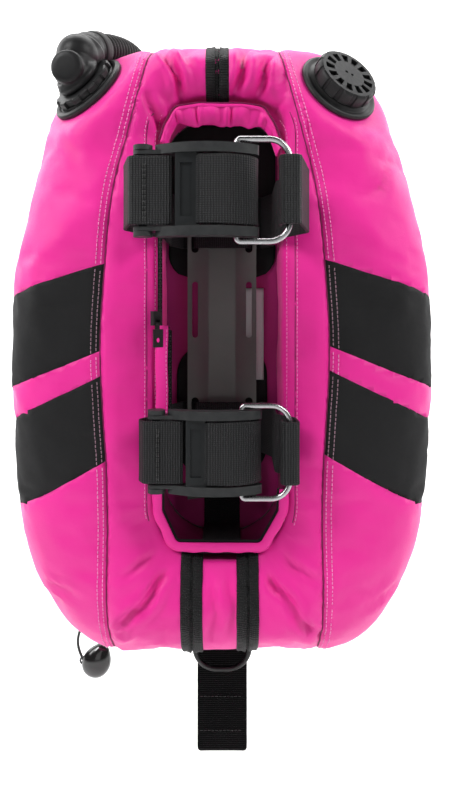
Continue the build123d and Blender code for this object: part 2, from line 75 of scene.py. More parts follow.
def add_camera():
    data = bpy.data.cameras.new("camera")
    data.lens = LENS
    data.sensor_width = 36
    data.sensor_fit = "AUTO"
    data.shift_y = SHIFT_Y
    data.clip_start = 0.01
    camera = bpy.data.objects.new("camera", data)
    camera.location = CAMERA_AT
    camera.rotation_euler = (math.radians(90), 0, 0)
    bpy.context.scene.collection.objects.link(camera)
    bpy.context.scene.camera = camera


def add_light(name, place, target, size, power, colour=(1, 1, 1)):
    data = bpy.data.lights.new(name, "AREA")
    data.shape = "RECTANGLE"
    data.size = size[0]
    data.size_y = size[1]
    data.energy = power
    data.color = colour
    lamp = bpy.data.objects.new(name, data)
    lamp.location = place
    lamp.rotation_euler = (Vector(target) - Vector(place)).to_track_quat("-Z", "Y").to_euler()
    bpy.context.scene.collection.objects.link(lamp)


def add_studio():
    """A pale floor that curves up into a far wall, and soft lights."""
    low = cad_box[0][2] - 0.05
    verts = []
    profile = [(-4.0, low), (1.6, low)]
    bend = 1.2
    for a in np.linspace(0.1, math.pi / 2, 14):
        profile.append((1.6 + bend * math.sin(a), low + bend * (1 - math.cos(a))))
    profile += [(2.8, low + 4.5)]
    for y, z in profile:
        verts += [(-5, y, z), (5, y, z)]
    floor = mesh_object("floor", verts, grid_faces(len(profile), 2))
    shade = Shade("floor_paper")
    shade.base((0.82, 0.82, 0.82))
    shade.set(Roughness=0.9)
    floor.data.materials.append(shade.material)
    world = bpy.data.worlds.new("world")
    world.use_nodes = True
    world.node_tree.nodes["Background"].inputs[0].default_value = (1, 1, 1, 1)
    world.node_tree.nodes["Background"].inputs[1].default_value = 0.07
    bpy.context.scene.world = world
    add_light("key", (-0.85, -0.80, 1.00), (-0.10, 0, 0.14), (0.4, 0.5), 12)
    add_light("fill", (0.90, -0.75, 0.95), (0.10, 0, 0.14), (0.4, 0.5), 9.5)
    add_light("front", (0.0, -2.0, 0.2), (0, 0, 0), (1.0, 1.0), 2.5)
    add_light("side_left", (-1.1, -0.45, 0.55), (-0.15, 0, 0.15), (0.4, 0.6), 4.5)
    add_light("side_right", (1.1, -0.45, 0.60), (0.15, 0, 0.18), (0.4, 0.6), 3.0)
    add_light("wall_left", (-2.2, 1.2, 1.5), (-0.8, 2.8, 0.2), (2, 2), 85)
    add_light("wall_right", (2.2, 1.2, 1.5), (0.8, 2.8, 0.2), (2, 2), 85)
    add_light("wall_low", (0, 0.9, 2.6), (0, 2.0, -0.4), (3, 1), 90)
    add_light("back", (0.5, 1.6, 0.9), (0, 0, 0), (1.2, 1.2), 8)
    bpy.context.scene.view_settings.view_transform = "Standard"


# ---------------------------------------------------------------- mesh helpers
def mesh_object(name, verts, faces, smooth=True, uvs=None):
    mesh = bpy.data.meshes.new(name)
    mesh.from_pydata([tuple(v) for v in verts], [], faces)
    mesh.update()
    if smooth:
        mesh.polygons.foreach_set("use_smooth", [True] * len(mesh.polygons))
    if uvs is not None:
        layer = mesh.uv_layers.new(name="strap")
        for loop in mesh.loops:
            layer.data[loop.index].uv = uvs[loop.vertex_index]
    obj = bpy.data.objects.new(name, mesh)
    bpy.context.scene.collection.objects.link(obj)
    return obj


def finish_piece(obj, material, replaced=(), body=ROOT):
    """Gives a new piece its material, the body it rides on and the CAD nodes it stands for."""
    if material is not None:
        obj.data.materials.clear()
        obj.data.materials.append(material)
    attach(obj, body)
    if replaced:
        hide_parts(*replaced)
    return obj


def grid_faces(rows, columns, wrap=False, flip=False):
    """Faces of a grid of verts listed row by row; wrap closes each row into a ring."""
    faces = []
    for k in range(rows - 1):
        for j in range(columns if wrap else columns - 1):
            a = k * columns + j
            b = k * columns + (j + 1) % columns
            faces.append((a, a + columns, b + columns, b) if flip else (a, b, b + columns, a + columns))
    return faces


def thicken(obj, thickness, offset=-1):
    solid = obj.modifiers.new("thickness", "SOLIDIFY")
    solid.thickness = thickness
    solid.offset = offset
    return obj


def joined(name, parts):
    """One mesh object from (verts, faces) lists."""
    verts, faces = [], []
    for part_verts, part_faces in parts:
        start = len(verts)
        verts += list(part_verts)
        faces += [tuple(i + start for i in f) for f in part_faces]
    return mesh_object(name, verts, faces)


def add_parts(name, parts, material, replaced=(), body=ROOT):
    return finish_piece(joined(name, parts), material, replaced, body)


def frames_along(points):
    """A tangent and a steady side vector at each point of a path."""
    points = [Vector(p) for p in points]
    tangents = []
    for k in range(len(points)):
        ahead = points[min(k + 1, len(points) - 1)] - points[max(k - 1, 0)]
        tangents.append(ahead.normalized())
    side = tangents[0].orthogonal()
    sides = []
    for tangent in tangents:
        side = (side - tangent * side.dot(tangent)).normalized()
        sides.append(side.copy())
    return points, tangents, sides


def end_faces(rows, columns):
    """The two faces that close a tube made by grid_faces."""
    last = (rows - 1) * columns
    return [tuple(range(columns))[::-1], tuple(last + j for j in range(columns))]


def tube_mesh(points, radius, around=12):
    """Verts and faces of a tube; radius is a number or a function of the distance along it."""
    points, tangents, sides = frames_along(points)
    verts, run = [], 0.0
    for k, (point, tangent, side) in enumerate(zip(points, tangents, sides)):
        if k:
            run += (point - points[k - 1]).length
        size = radius(run) if callable(radius) else radius
        up = tangent.cross(side)
        for j in range(around):
            a = 2 * math.pi * j / around
            verts.append(point + (side * math.cos(a) + up * math.sin(a)) * size)
    return verts, grid_faces(len(points), around, wrap=True) + end_faces(len(points), around)


def revolved(profile, matrix, around=48, ripple=None):
    """Verts and faces of (radius, height) points turned about local Z; ripple changes a radius by angle."""
    verts = []
    for k, (radius, height) in enumerate(profile):
        for j in range(around):
            a = 2 * math.pi * j / around
            r = radius + (ripple(a, k) if ripple else 0)
            verts.append(matrix @ Vector((r * math.cos(a), r * math.sin(a), height)))
    return verts, grid_faces(len(profile), around, wrap=True) + end_faces(len(profile), around)


def rounded_path(points, radii, step=0.003):
    """A strap's route: straight runs joined by arcs, sampled every step or so."""
    points = [Vector(p) for p in points]
    path = [points[0]]
    for before, here, after, radius in zip(points, points[1:], points[2:], radii):
        first, second = (here - before).normalized(), (after - here).normalized()
        turn = first.angle(second)
        cut = radius * math.tan(turn / 2)
        start, end = here - first * cut, here + second * cut
        count = max(3, int(radius * turn / step) + 2)
        centre = start + (second - first * first.dot(second)).normalized() * radius
        normal = first.cross(second).normalized()
        for k in range(count + 1):
            path.append(centre + Matrix.Rotation(turn * k / count, 3, normal) @ (start - centre))
    path.append(points[-1])
    filled = [path[0]]
    for a, b in zip(path, path[1:]):
        count = max(1, int((b - a).length / (2 * step)))
        filled += [a.lerp(b, k / count) for k in range(1, count + 1)]
    return filled


WEB_HALF = 0.0247
WEB_THICK = 0.0022


def webbing(name, path, across, material, replaced=(), body=ROOT, half=WEB_HALF, thick=WEB_THICK,
            narrowed=None):
    """Woven strap with soft, slightly thicker selvedges and a faint lengthwise ripple."""
    across = Vector(across).normalized()
    half_section = [(1, -0.28), (0.985, -0.5), (0.93, -0.56), (0.86, -0.5), (0.45, -0.46)]
    section = [(-x, y) for x, y in half_section] + [(0, -0.47)] + half_section[::-1]
    section += [(x, -y) for x, y in reversed(section)]
    verts, uvs, run = [], [], 0.0
    points = [Vector(p) for p in path]
    for k, point in enumerate(points):
        ahead = (points[min(k + 1, len(points) - 1)] - points[max(k - 1, 0)]).normalized()
        side = (across - ahead * across.dot(ahead)).normalized()
        normal = side.cross(ahead)
        if k:
            run += (point - points[k - 1]).length
        wave = 0.00012 * noise.noise(point * 60)
        reach = half - (narrowed(point) if narrowed else 0)
        for x, y in section:
            verts.append(point + side * (x * reach) + normal * (y * thick + wave))
            uvs.append((x * half, run))
    faces = grid_faces(len(points), len(section), wrap=True) + end_faces(len(points), len(section))
    obj = mesh_object(name, verts, faces, uvs=uvs)
    return finish_piece(obj, material, replaced, body)


FINE_STITCH = (0.0022, 0.0014, 0.0006)    # length, gap and width


def stitch_mesh(rows, length=0.0023, gap=0.0013, width=0.0008, lift=0.0003):
    """Small raised threads along rows of (point, normal)."""
    parts = []
    for row in rows:
        run, pitch = 0.0, length + gap
        cumulative = [0.0]
        for (a, _), (b, _) in zip(row, row[1:]):
            run += (b - a).length
            cumulative.append(run)
        for k in range(int(run / pitch)):
            spots = [k * pitch, k * pitch + length / 2, k * pitch + length]
            ends = []
            for spot in spots:
                i = min(max(np.searchsorted(cumulative, spot) - 1, 0), len(row) - 2)
                f = (spot - cumulative[i]) / max(cumulative[i + 1] - cumulative[i], 1e-9)
                ends.append((row[i][0].lerp(row[i + 1][0], f), row[i][1]))
            points = [p + n * (lift if j == 1 else -lift * 0.6) for j, (p, n) in enumerate(ends)]
            parts.append(tube_mesh(points, width / 2, 5))
    return parts


def cad(node, material, bevel=0.0006, segments=2):
    """A CAD node keeps its shape, with softened edges and a better material."""
    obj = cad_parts[node]
    for k in range(len(obj.material_slots)):
        obj.material_slots[k].material = material
    if bevel:
        mod = obj.modifiers.new("edges", "BEVEL")
        mod.width = bevel
        mod.segments = segments
        mod.limit_method = "ANGLE"
        mod.angle_limit = math.radians(35)
        mod.harden_normals = False
    return obj


# ---------------------------------------------------------------- materials
class Shade:
    """A material with a Principled shader and short ways to add procedural detail."""

    def __init__(self, name):
        self.material = bpy.data.materials.new(name)
        self.material.use_nodes = True
        self.tree = self.material.node_tree
        self.shader = self.tree.nodes["Principled BSDF"]
        self.bump_end = None

    def set(self, **values):
        for key, value in values.items():
            self.shader.inputs[key.replace("_", " ")].default_value = value

    def base(self, colour):
        self.shader.inputs["Base Color"].default_value = (*colour, 1)

    def node(self, kind, **values):
        made = self.tree.nodes.new("ShaderNode" + kind)
        for key, value in values.items():
            setattr(made, key, value)
        return made

    def link(self, a, b):
        self.tree.links.new(a, b)

    def coordinates(self, use_uv=False, scale=(1, 1, 1)):
        source = self.node("TexCoord")
        mapping = self.node("Mapping")
        mapping.inputs["Scale"].default_value = scale
        self.link(source.outputs["UV" if use_uv else "Object"], mapping.inputs["Vector"])
        return mapping.outputs["Vector"]

    def noise(self, size, detail=3, use_uv=False, stretch=(1, 1, 1), rough=0.55):
        made = self.node("TexNoise")
        made.inputs["Scale"].default_value = 1 / size
        made.inputs["Detail"].default_value = detail
        made.inputs["Roughness"].default_value = rough
        self.link(self.coordinates(use_uv, stretch), made.inputs["Vector"])
        return made.outputs["Fac"]

    def wave(self, period, axis="X", use_uv=False, rotate=0.0, distortion=0.0):
        made = self.node("TexWave")
        made.bands_direction = axis
        made.inputs["Scale"].default_value = 0.314 / period
        made.inputs["Distortion"].default_value = distortion
        source = self.node("TexCoord")
        mapping = self.node("Mapping")
        mapping.inputs["Rotation"].default_value = (0, 0, rotate)
        self.link(source.outputs["UV" if use_uv else "Object"], mapping.inputs["Vector"])
        self.link(mapping.outputs["Vector"], made.inputs["Vector"])
        return made.outputs["Fac"]

    def ramp(self, factor, stops):
        made = self.node("ValToRGB")
        ramp = made.color_ramp
        while len(ramp.elements) < len(stops):
            ramp.elements.new(0.5)
        for element, (place, colour) in zip(ramp.elements, stops):
            element.position = place
            element.color = (*colour, 1) if len(colour) == 3 else colour
        self.link(factor, made.inputs["Fac"])
        return made.outputs["Color"]

    def mix(self, factor, a, b, blend="MIX"):
        made = self.node("Mix", data_type="RGBA", blend_type=blend)
        self.put(factor, made.inputs[0])
        self.put(a, made.inputs[6])
        self.put(b, made.inputs[7])
        return made.outputs[2]

    def put(self, value, socket):
        if isinstance(value, bpy.types.NodeSocket):
            self.link(value, socket)
        elif isinstance(value, tuple):
            socket.default_value = (*value, 1)
        else:
            socket.default_value = value

    def math(self, operation, a, b=0.0):
        made = self.node("Math", operation=operation)
        self.put(a, made.inputs[0])
        self.put(b, made.inputs[1])
        return made.outputs[0]

    def range(self, factor, low, high):
        made = self.node("MapRange")
        made.inputs["To Min"].default_value = low
        made.inputs["To Max"].default_value = high
        self.link(factor, made.inputs["Value"])
        return made.outputs["Result"]

    def bump(self, height, strength, depth):
        """Adds a bump layer over the ones before it; depth is in metres."""
        made = self.node("Bump")
        made.inputs["Strength"].default_value = strength
        made.inputs["Distance"].default_value = depth
        self.link(height, made.inputs["Height"])
        if self.bump_end is not None:
            self.link(self.bump_end, made.inputs["Normal"])
        self.bump_end = made.outputs["Normal"]
        self.link(self.bump_end, self.shader.inputs["Normal"])

    def edges(self):
        """High on worn convex edges."""
        geometry = self.node("NewGeometry")
        return self.ramp(geometry.outputs["Pointiness"], [(0.49, (0, 0, 0)), (0.56, (1, 1, 1))])

    def colour(self, socket):
        self.link(socket, self.shader.inputs["Base Color"])

    def rough(self, socket):
        self.link(socket, self.shader.inputs["Roughness"])


def woven(name, low, high, rough, weave=0.0007, sheen=0.25, weave_depth=0.00012, cloudy=0.06, gloss=0.4):
    """Close plain weave: colour clouds, thread bump and a soft sheen."""
    shade = Shade(name)
    cloud = shade.noise(cloudy, 4)
    threads = shade.math("MULTIPLY", shade.wave(weave, "X"), shade.wave(weave, "Z"))
    mixed = shade.mix(cloud, low, high)
    shade.colour(shade.mix(shade.math("MULTIPLY", threads, 0.25), mixed, tuple(c * 0.72 for c in low)))
    shade.rough(shade.range(shade.noise(0.004, 3), rough - 0.06, rough + 0.08))
    shade.set(Sheen_Weight=sheen, Sheen_Roughness=0.45, Specular_IOR_Level=gloss)
    shade.bump(shade.noise(0.012, 5), 0.35, 0.0006)
    shade.bump(threads, 0.5, weave_depth)
    return shade.material


def ribbed_web(name, dark, light, sheen=0.04, gloss=0.2):
    """Nylon webbing: weft ribs with a fine herringbone, the raised rib tops painted paler as a highlight."""
    shade = Shade(name)
    ribs = shade.wave(0.0020, "Y", use_uv=True, distortion=0.3)
    picks = shade.wave(0.0016, "X", use_uv=True)
    height = shade.math("MULTIPLY", ribs, shade.range(picks, 0.35, 1.0))
    fuzz = shade.noise(0.0009, 4)
    # colour runs from dark in the rib hollows to pale on the rib tops: painted highlight
    shade.colour(shade.mix(shade.math("MULTIPLY", height, shade.range(fuzz, 0.5, 1.0)), dark, light))
    shade.rough(shade.range(fuzz, 0.42, 0.70))
    shade.set(Sheen_Weight=sheen, Sheen_Roughness=0.4, Specular_IOR_Level=gloss)
    shade.bump(shade.noise(0.006, 4), 0.25, 0.0003)
    shade.bump(height, 1.0, 0.0007)
    return shade.material


def moulded(name, dark, light, rough, grain=0.0006, worn=(0.16, 0.16, 0.16), wear=0.35):
    """Moulded plastic: fine grain, a little dust, and paler worn edges."""
    shade = Shade(name)
    cloud = shade.noise(0.02, 5)
    body = shade.mix(cloud, dark, light)
    edge = shade.math("MULTIPLY", shade.edges(), shade.range(shade.noise(0.006, 4), 0.0, wear))
    shade.colour(shade.mix(edge, body, worn))
    shade.rough(shade.range(shade.noise(0.008, 4), rough - 0.08, rough + 0.1))
    shade.set(Specular_IOR_Level=0.20)
    shade.bump(shade.noise(grain, 2), 0.25, 0.00008)
    return shade.material


def metal(name, low, high, rough, stretch=(1, 1, 1), scratch=0.3, metallic=1.0):
    """Brushed or polished metal with a directional grain and fine scratches."""
    shade = Shade(name)
    grain = shade.noise(0.0012, 4, stretch=stretch, rough=0.7)
    shade.colour(shade.mix(shade.noise(0.03, 3), low, high))
    shade.rough(shade.range(grain, rough - 0.08, rough + 0.14))
    shade.set(Metallic=metallic)
    shade.bump(grain, scratch, 0.00005)
    return shade.material


PINK_LOW, PINK_HIGH = (0.76, 0.012, 0.27), (0.90, 0.022, 0.34)


def make_materials():
    m = {}
    m["pink"] = woven("pink_nylon", PINK_LOW, PINK_HIGH, 0.46, sheen=0.10, gloss=0.34)
    # the lining deep in the well is the wing's pink, darkened as painted shade
    m["pink_dark"] = woven("pink_lining_painted_shade", (0.42, 0.006, 0.15), (0.55, 0.01, 0.20), 0.6, sheen=0.1)
    # the well's foot wall is the wing's pink fabric, coloured near-black pink here as painted shade
    m["foot"] = woven("pink_foot_painted_shade", (0.12, 0.003, 0.042), (0.18, 0.004, 0.062), 0.7,
                      sheen=0.02, gloss=0.1)
    m["black"] = woven("black_fabric", (0.008, 0.008, 0.0085), (0.013, 0.013, 0.0135), 0.75,
                       weave=0.0009, sheen=0.02, gloss=0.2)
    m["back"] = woven("back_nylon", (0.014, 0.014, 0.015), (0.026, 0.026, 0.028), 0.6,
                      weave=0.0012, sheen=0.15, weave_depth=0.0002)
    m["web"] = ribbed_web("black_webbing", (0.002, 0.002, 0.0023), (0.034, 0.035, 0.038),
                         sheen=0.02, gloss=0.26)
    # the crotch strap's webbing: the black webbing darkened further as painted shade
    m["new_web"] = ribbed_web("webbing_painted_shade", (0.002, 0.002, 0.0022), (0.005, 0.005, 0.0055),
                             sheen=0.0, gloss=0.06)
    m["tape"] = ribbed_web("zip_tape", (0.004, 0.004, 0.0045), (0.014, 0.014, 0.0145))
    m["thread"] = woven("stitch_thread", (0.85, 0.22, 0.55), (0.95, 0.40, 0.68), 0.5, sheen=0.3)
    m["grey_thread"] = woven("grey_thread", (0.30, 0.16, 0.22), (0.42, 0.26, 0.32), 0.6, sheen=0.2)
    m["black_thread"] = woven("black_thread", (0.015, 0.015, 0.015), (0.04, 0.04, 0.04), 0.6, sheen=0.2)
    # dark pink tubes laid in the seams and along the hem's top: painted seam shade
    m["piping"] = woven("seam_shadow", (0.13, 0.004, 0.05), (0.22, 0.006, 0.085), 0.7, sheen=0.1)
    m["buckle"] = moulded("buckle_plastic", (0.009, 0.010, 0.011), (0.016, 0.018, 0.019), 0.44,
                          worn=(0.10, 0.10, 0.10))
    m["valve"] = moulded("valve_plastic", (0.005, 0.005, 0.0055), (0.011, 0.011, 0.0115), 0.42,
                         worn=(0.08, 0.08, 0.08))
    m["teeth"] = moulded("zip_teeth", (0.006, 0.006, 0.0065), (0.014, 0.014, 0.0145), 0.35,
                          worn=(0.08, 0.08, 0.08))
    m["rubber"] = moulded("hose_rubber", (0.005, 0.005, 0.005), (0.011, 0.011, 0.011), 0.5,
                          grain=0.0009, wear=0.2)
    m["silicone"] = moulded("soft_black", (0.02, 0.02, 0.02), (0.035, 0.035, 0.035), 0.55, wear=0.1)
    m["red"] = moulded("button_red", (0.35, 0.02, 0.015), (0.45, 0.03, 0.02), 0.4, worn=(0.6, 0.2, 0.15))
    knob = Shade("glossy_black")
    knob.colour(knob.mix(knob.noise(0.01, 3), (0.006, 0.006, 0.006), (0.014, 0.014, 0.014)))
    knob.rough(knob.range(knob.noise(0.004, 4), 0.10, 0.26))
    knob.set(Coat_Weight=0.5, Coat_Roughness=0.08)
    knob.bump(knob.noise(0.02, 2), 0.15, 0.0004)
    m["gloss"] = knob.material
    # the plate's grey is tinted green to cancel the pink light reflected onto it: a painted offset of that
    # reflection
    m["adapter"] = metal("anodised_plate", (0.100, 0.112, 0.103), (0.130, 0.143, 0.131), 0.36,
                         (30, 30, 1), 0.25, 0.25)
    m["steel"] = metal("polished_steel", (0.36, 0.36, 0.37), (0.46, 0.46, 0.47), 0.22, scratch=0.02)
    m["plate"] = metal("brushed_steel_plate", (0.45, 0.45, 0.46), (0.56, 0.56, 0.57), 0.3, (2, 2, 40), 0.4)
    m["dark_steel"] = metal("blackened_steel", (0.03, 0.03, 0.03), (0.06, 0.06, 0.06), 0.35)
    # the care tag is the same white as the label strip, coloured grey here as painted shade
    m["tag"] = woven("blank_tag_painted_shade", (0.62, 0.63, 0.63), (0.8, 0.8, 0.8), 0.6, weave=0.0005, sheen=0.1)
    m["label"] = woven("blank_label", (0.9, 0.9, 0.9), (0.96, 0.96, 0.96), 0.6, weave=0.0005, sheen=0.1)
    return m


# ---------------------------------------------------------------- cords: hose and dump pull
HOSE_ROUTE = [
    (-0.113, -0.046, 0.266), (-0.099, -0.012, 0.280), (-0.084, 0.027, 0.276), (-0.099, 0.052, 0.239),
    (-0.128, 0.058, 0.198), (-0.132, 0.057, 0.135), (-0.131, 0.056, 0.056),
]
DUMP_CORD_ROUTE = [
    (-0.118, 0.022, -0.232), (-0.124, 0.025, -0.250), (-0.134, 0.027, -0.268),
    (-0.143, 0.026, -0.287), (-0.147, 0.024, -0.307), (-0.139, 0.023, -0.320),
]
HOSE_PITCH = 0.0052


def smooth_line(name, route):
    """The points of one NURBS spline through a route's control points."""
    curve = bpy.data.curves.new(name, "CURVE")
    curve.dimensions = "3D"
    curve.resolution_u = 24
    spline = curve.splines.new("NURBS")
    spline.points.add(len(route) - 1)
    for point, place in zip(spline.points, route):
        point.co = (*place, 1)
    spline.order_u = 3
    spline.use_endpoint_u = True
    holder = bpy.data.objects.new(name, curve)
    bpy.context.scene.collection.objects.link(holder)
    mesh = bpy.data.meshes.new_from_object(holder)
    line = [v.co.copy() for v in mesh.vertices]
    bpy.data.objects.remove(holder)
    bpy.data.meshes.remove(mesh)
    return line


def evenly(line, step):
    """The same line with its points a step apart."""
    lengths = [0.0]
    for a, b in zip(line, line[1:]):
        lengths.append(lengths[-1] + (b - a).length)
    count = max(2, round(lengths[-1] / step))
    spots = np.linspace(0, lengths[-1], count + 1)
    columns = [np.interp(spots, lengths, [p[i] for p in line]) for i in range(3)]
    return [Vector(p) for p in zip(*columns)]


def add_cords(m):
    line = evenly(smooth_line("hose_line", HOSE_ROUTE), HOSE_PITCH / 6)

    def corrugation(run):
        ridge = 0.5 + 0.5 * math.cos(2 * math.pi * run / HOSE_PITCH)
        return 0.0127 + 0.0022 * ridge ** 0.6
    verts, faces = tube_mesh(line, corrugation, 40)
    hose = mesh_object("inflator_hose_rubber", verts, faces)
    finish_piece(hose, m["rubber"], ["inflator_hose"])
    line = evenly(smooth_line("dump_line", DUMP_CORD_ROUTE), 0.0005)
    verts, faces = tube_mesh(line, lambda run: 0.00135 + 0.00012 * math.sin(run * 3500), 12)
    pull = finish_piece(mesh_object("dump_pull_cord", verts, faces), m["black_thread"], ["dump_cord"])
    knob = add_knob(m, line[-1])


def add_knob(m, cord_end):
    """Glossy pear-shaped pull with an eye for the cord."""
    profile = [(0.0005, -0.017), (0.006, -0.0165), (0.0105, -0.0135), (0.0137, -0.008), (0.0147, -0.002),
               (0.0138, 0.004), (0.0112, 0.009), (0.0082, 0.013), (0.006, 0.0158),
                (0.0035, 0.0172), (0.0005, 0.0175)]
    low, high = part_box("dump_knob")
    centre = (Vector(low) + Vector(high)) / 2
    tilt = Matrix.Rotation(math.radians(24), 4, "Y")
    place = Matrix.Translation(centre) @ tilt @ Matrix.Diagonal((1, 0.68, 1, 1))
    knob_verts, knob_faces = revolved(profile, place, 36)
    turns = np.linspace(0, 2 * math.pi, 24)
    eye = [cord_end + Vector((0.0036 * math.cos(a), 0.0, 0.0036 * math.sin(a))) for a in turns]
    obj = joined("dump_knob_gloss", [(knob_verts, knob_faces), tube_mesh(eye, 0.0011, 10)])
    mod = obj.modifiers.new("soft", "SUBSURF")
    mod.levels = mod.render_levels = 1
    return finish_piece(obj, m["gloss"], ["dump_knob"])


# ---------------------------------------------------------------- air cell
SPINE_TOP, SPINE_FOOT = 0.165, -0.130     # the sections fan out from the ends of this line
MID_Y = -0.045                            # middle of the upright wall round the well
OUTER_MID_Y = -0.030                      # the outside is widest here, near the sewn edge
FRONT_Y = -0.0975
BACK_Y = 0.007
RIDGE = 0.42                              # share of the width between the well and the foremost line
RIM_DROP = 0.010                          # the front falls back by this much from the ridge to the well
PERIMETER_Y = -0.020
STATION_STEP = 0.0052
AROUND = 76
SEAM_POINTS = [(0.046, 0.300), (0.063, 0.208), (0.078, 0.166), (0.088, 0.122),
               (0.097, 0.0), (0.089, -0.126), (0.091, -0.228), (0.086, -0.310)]
COVER_SHIFT = -0.005                      # the cover is pulled a little to the left
BAND_LINES = [(0.0990, -0.30), (0.0370, -0.40), (0.0250, -0.49), (-0.0412, -0.5625)]   # z = a + b |x|
VALVES = {  # seat centre, outward direction and radius, as in the CAD model
    "elbow": ((-0.116, -0.062, 0.224), (-0.55, -0.60, 0.58), 0.036),
    "shoulder_dump": ((0.101, -0.073, 0.222), (0.42, -0.76, 0.50), 0.036),
    "rear_dump": ((-0.118, 0.0065, -0.205), (0, 1, 0), 0.031),
}


def seam_x(z):
    """Distance of the long front seam from the middle, at a height."""
    heights = [p[1] for p in reversed(SEAM_POINTS)]
    widths = [p[0] for p in reversed(SEAM_POINTS)]
    near = [z + d for d in (-0.03, -0.015, 0, 0.015, 0.03)]
    return float(np.mean(np.interp(near, heights, widths)))


def beyond_seam(p):
    """How far a point lies outside the nearer long seam."""
    return abs(p.x - COVER_SHIFT) - seam_x(p.z)


def band_z(index, x):
    a, b = BAND_LINES[index]
    return a + b * abs(x)


def mesh_tree(mesh):
    faces = [tuple(p.vertices) for p in mesh.polygons]
    return BVHTree.FromPolygons([v.co.copy() for v in mesh.vertices], faces)


def stations():
    """Where each cross-section starts and the way it points, once round the well."""
    found = []
    side_count = round((SPINE_TOP - SPINE_FOOT) / STATION_STEP)
    fan = 78
    spine = SPINE_TOP - SPINE_FOOT
    for k in range(side_count):
        found.append((Vector((0, MID_Y, SPINE_FOOT + spine * k / side_count)), Vector((1, 0, 0))))
    for k in range(fan):
        a = math.pi * k / fan
        found.append((Vector((0, MID_Y, SPINE_TOP)), Vector((math.cos(a), 0, math.sin(a)))))
    for k in range(side_count):
        found.append((Vector((0, MID_Y, SPINE_TOP - spine * k / side_count)), Vector((-1, 0, 0))))
    for k in range(fan):
        a = math.pi + math.pi * k / fan
        found.append((Vector((0, MID_Y, SPINE_FOOT)), Vector((math.cos(a), 0, math.sin(a)))))
    return found


def section_outline(width):
    """Outline of the tube as (distance from the well, y): round outside, upright with a crisp rim inside."""
    dense = []
    for turn in np.linspace(0, 2 * math.pi, 720, endpoint=False):
        c, s = math.cos(turn), math.sin(turn)
        if c > 0:
            across = RIDGE + (1 - RIDGE) * c
            if s > 0:
                y = OUTER_MID_Y + (FRONT_Y - OUTER_MID_Y) * s
            else:
                y = OUTER_MID_Y + (BACK_Y - OUTER_MID_Y) * abs(s) ** 0.6
        else:
            across = RIDGE - RIDGE * abs(c) ** 0.30
            y = MID_Y + ((FRONT_Y if s > 0 else BACK_Y) - MID_Y) * abs(s) ** 0.30
            if s > 0:
                y += RIM_DROP * (1 - across / RIDGE) ** 1.5 * s
        dense.append((across * width, y))
    dense.append(dense[0])
    lengths = np.concatenate([[0], np.cumsum(np.hypot(*np.diff(np.array(dense), axis=0).T))])
    spots = np.linspace(0, lengths[-1], AROUND, endpoint=False)
    return list(zip(*[np.interp(spots, lengths, column) for column in zip(*dense)]))


def cell_mesh():
    """The inflated ring as a grid: sections round the well, points round each section."""
    tree = mesh_tree(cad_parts["bladder"].data)
    verts, faces = [], []
    line = stations()
    for origin, way in line:
        first = tree.ray_cast(origin, way, 1)[0]
        last = tree.ray_cast(origin + way, -way, 1)[0]
        inner = (first - origin).length - 0.001
        outer = (last - origin).length + 0.0022 - 0.0062 * abs(way.z)
        for reach, y in section_outline(outer - inner):
            spot = origin + way * (inner + reach)
            verts.append(Vector((spot.x, y, spot.z)))
    count = len(line)
    for k in range(count):
        for j in range(AROUND):
            a = k * AROUND + j
            b = k * AROUND + (j + 1) % AROUND
            c, d = (b + AROUND) % (count * AROUND), (a + AROUND) % (count * AROUND)
            faces.append((a, d, c, b))
    return verts, faces


def beside_seam(middle, sign):
    return beyond_seam(middle) > 0 and middle.x * sign > 0 and middle.y < PERIMETER_Y


def cut_seams(obj):
    """Cuts the mesh along the long seams and the bands' edges, so that panels part on clean lines."""
    bm = bmesh.new()
    bm.from_mesh(obj.data)
    for sign in (-1, 1):
        for v in bm.verts:
            v.co.x = sign * (v.co.x - COVER_SHIFT) - seam_x(v.co.z)
        picked = [f for f in bm.faces
                  if all(v.co.y < PERIMETER_Y + 0.012 and v.co.x > -0.06 for v in f.verts)]
        geometry = set(picked)
        for f in picked:
            geometry.update(f.edges)
            geometry.update(f.verts)
        bmesh.ops.bisect_plane(bm, geom=list(geometry), plane_co=(0, 0, 0), plane_no=(1, 0, 0), dist=1e-6)
        for v in bm.verts:
            v.co.x = sign * (v.co.x + seam_x(v.co.z)) + COVER_SHIFT
        for index in range(4):
            a, b = BAND_LINES[index]
            cut_plane(bm, (0, 0, a), Vector((-b * sign, 0, 1)).normalized(),
                      lambda f: beside_seam(f.calc_center_median(), sign))
    cut_plane(bm, (0, PERIMETER_Y, 0), (0, 1, 0), lambda f: outside_well(f.calc_center_median()))
    bm.normal_update()
    bm.to_mesh(obj.data)
    bm.free()


def cut_plane(bm, point, normal, wanted):
    geometry = set()
    for f in bm.faces:
        if wanted(f):
            geometry.add(f)
            geometry.update(f.edges)
            geometry.update(f.verts)
    bmesh.ops.bisect_plane(bm, geom=list(geometry), plane_co=point, plane_no=normal, dist=1e-6)


def outside_well(p):
    """True beyond the middle of the tube, seen from the well."""
    z = min(max(p.z, SPINE_FOOT), SPINE_TOP)
    return math.hypot(p.x, p.z - z) > 0.075


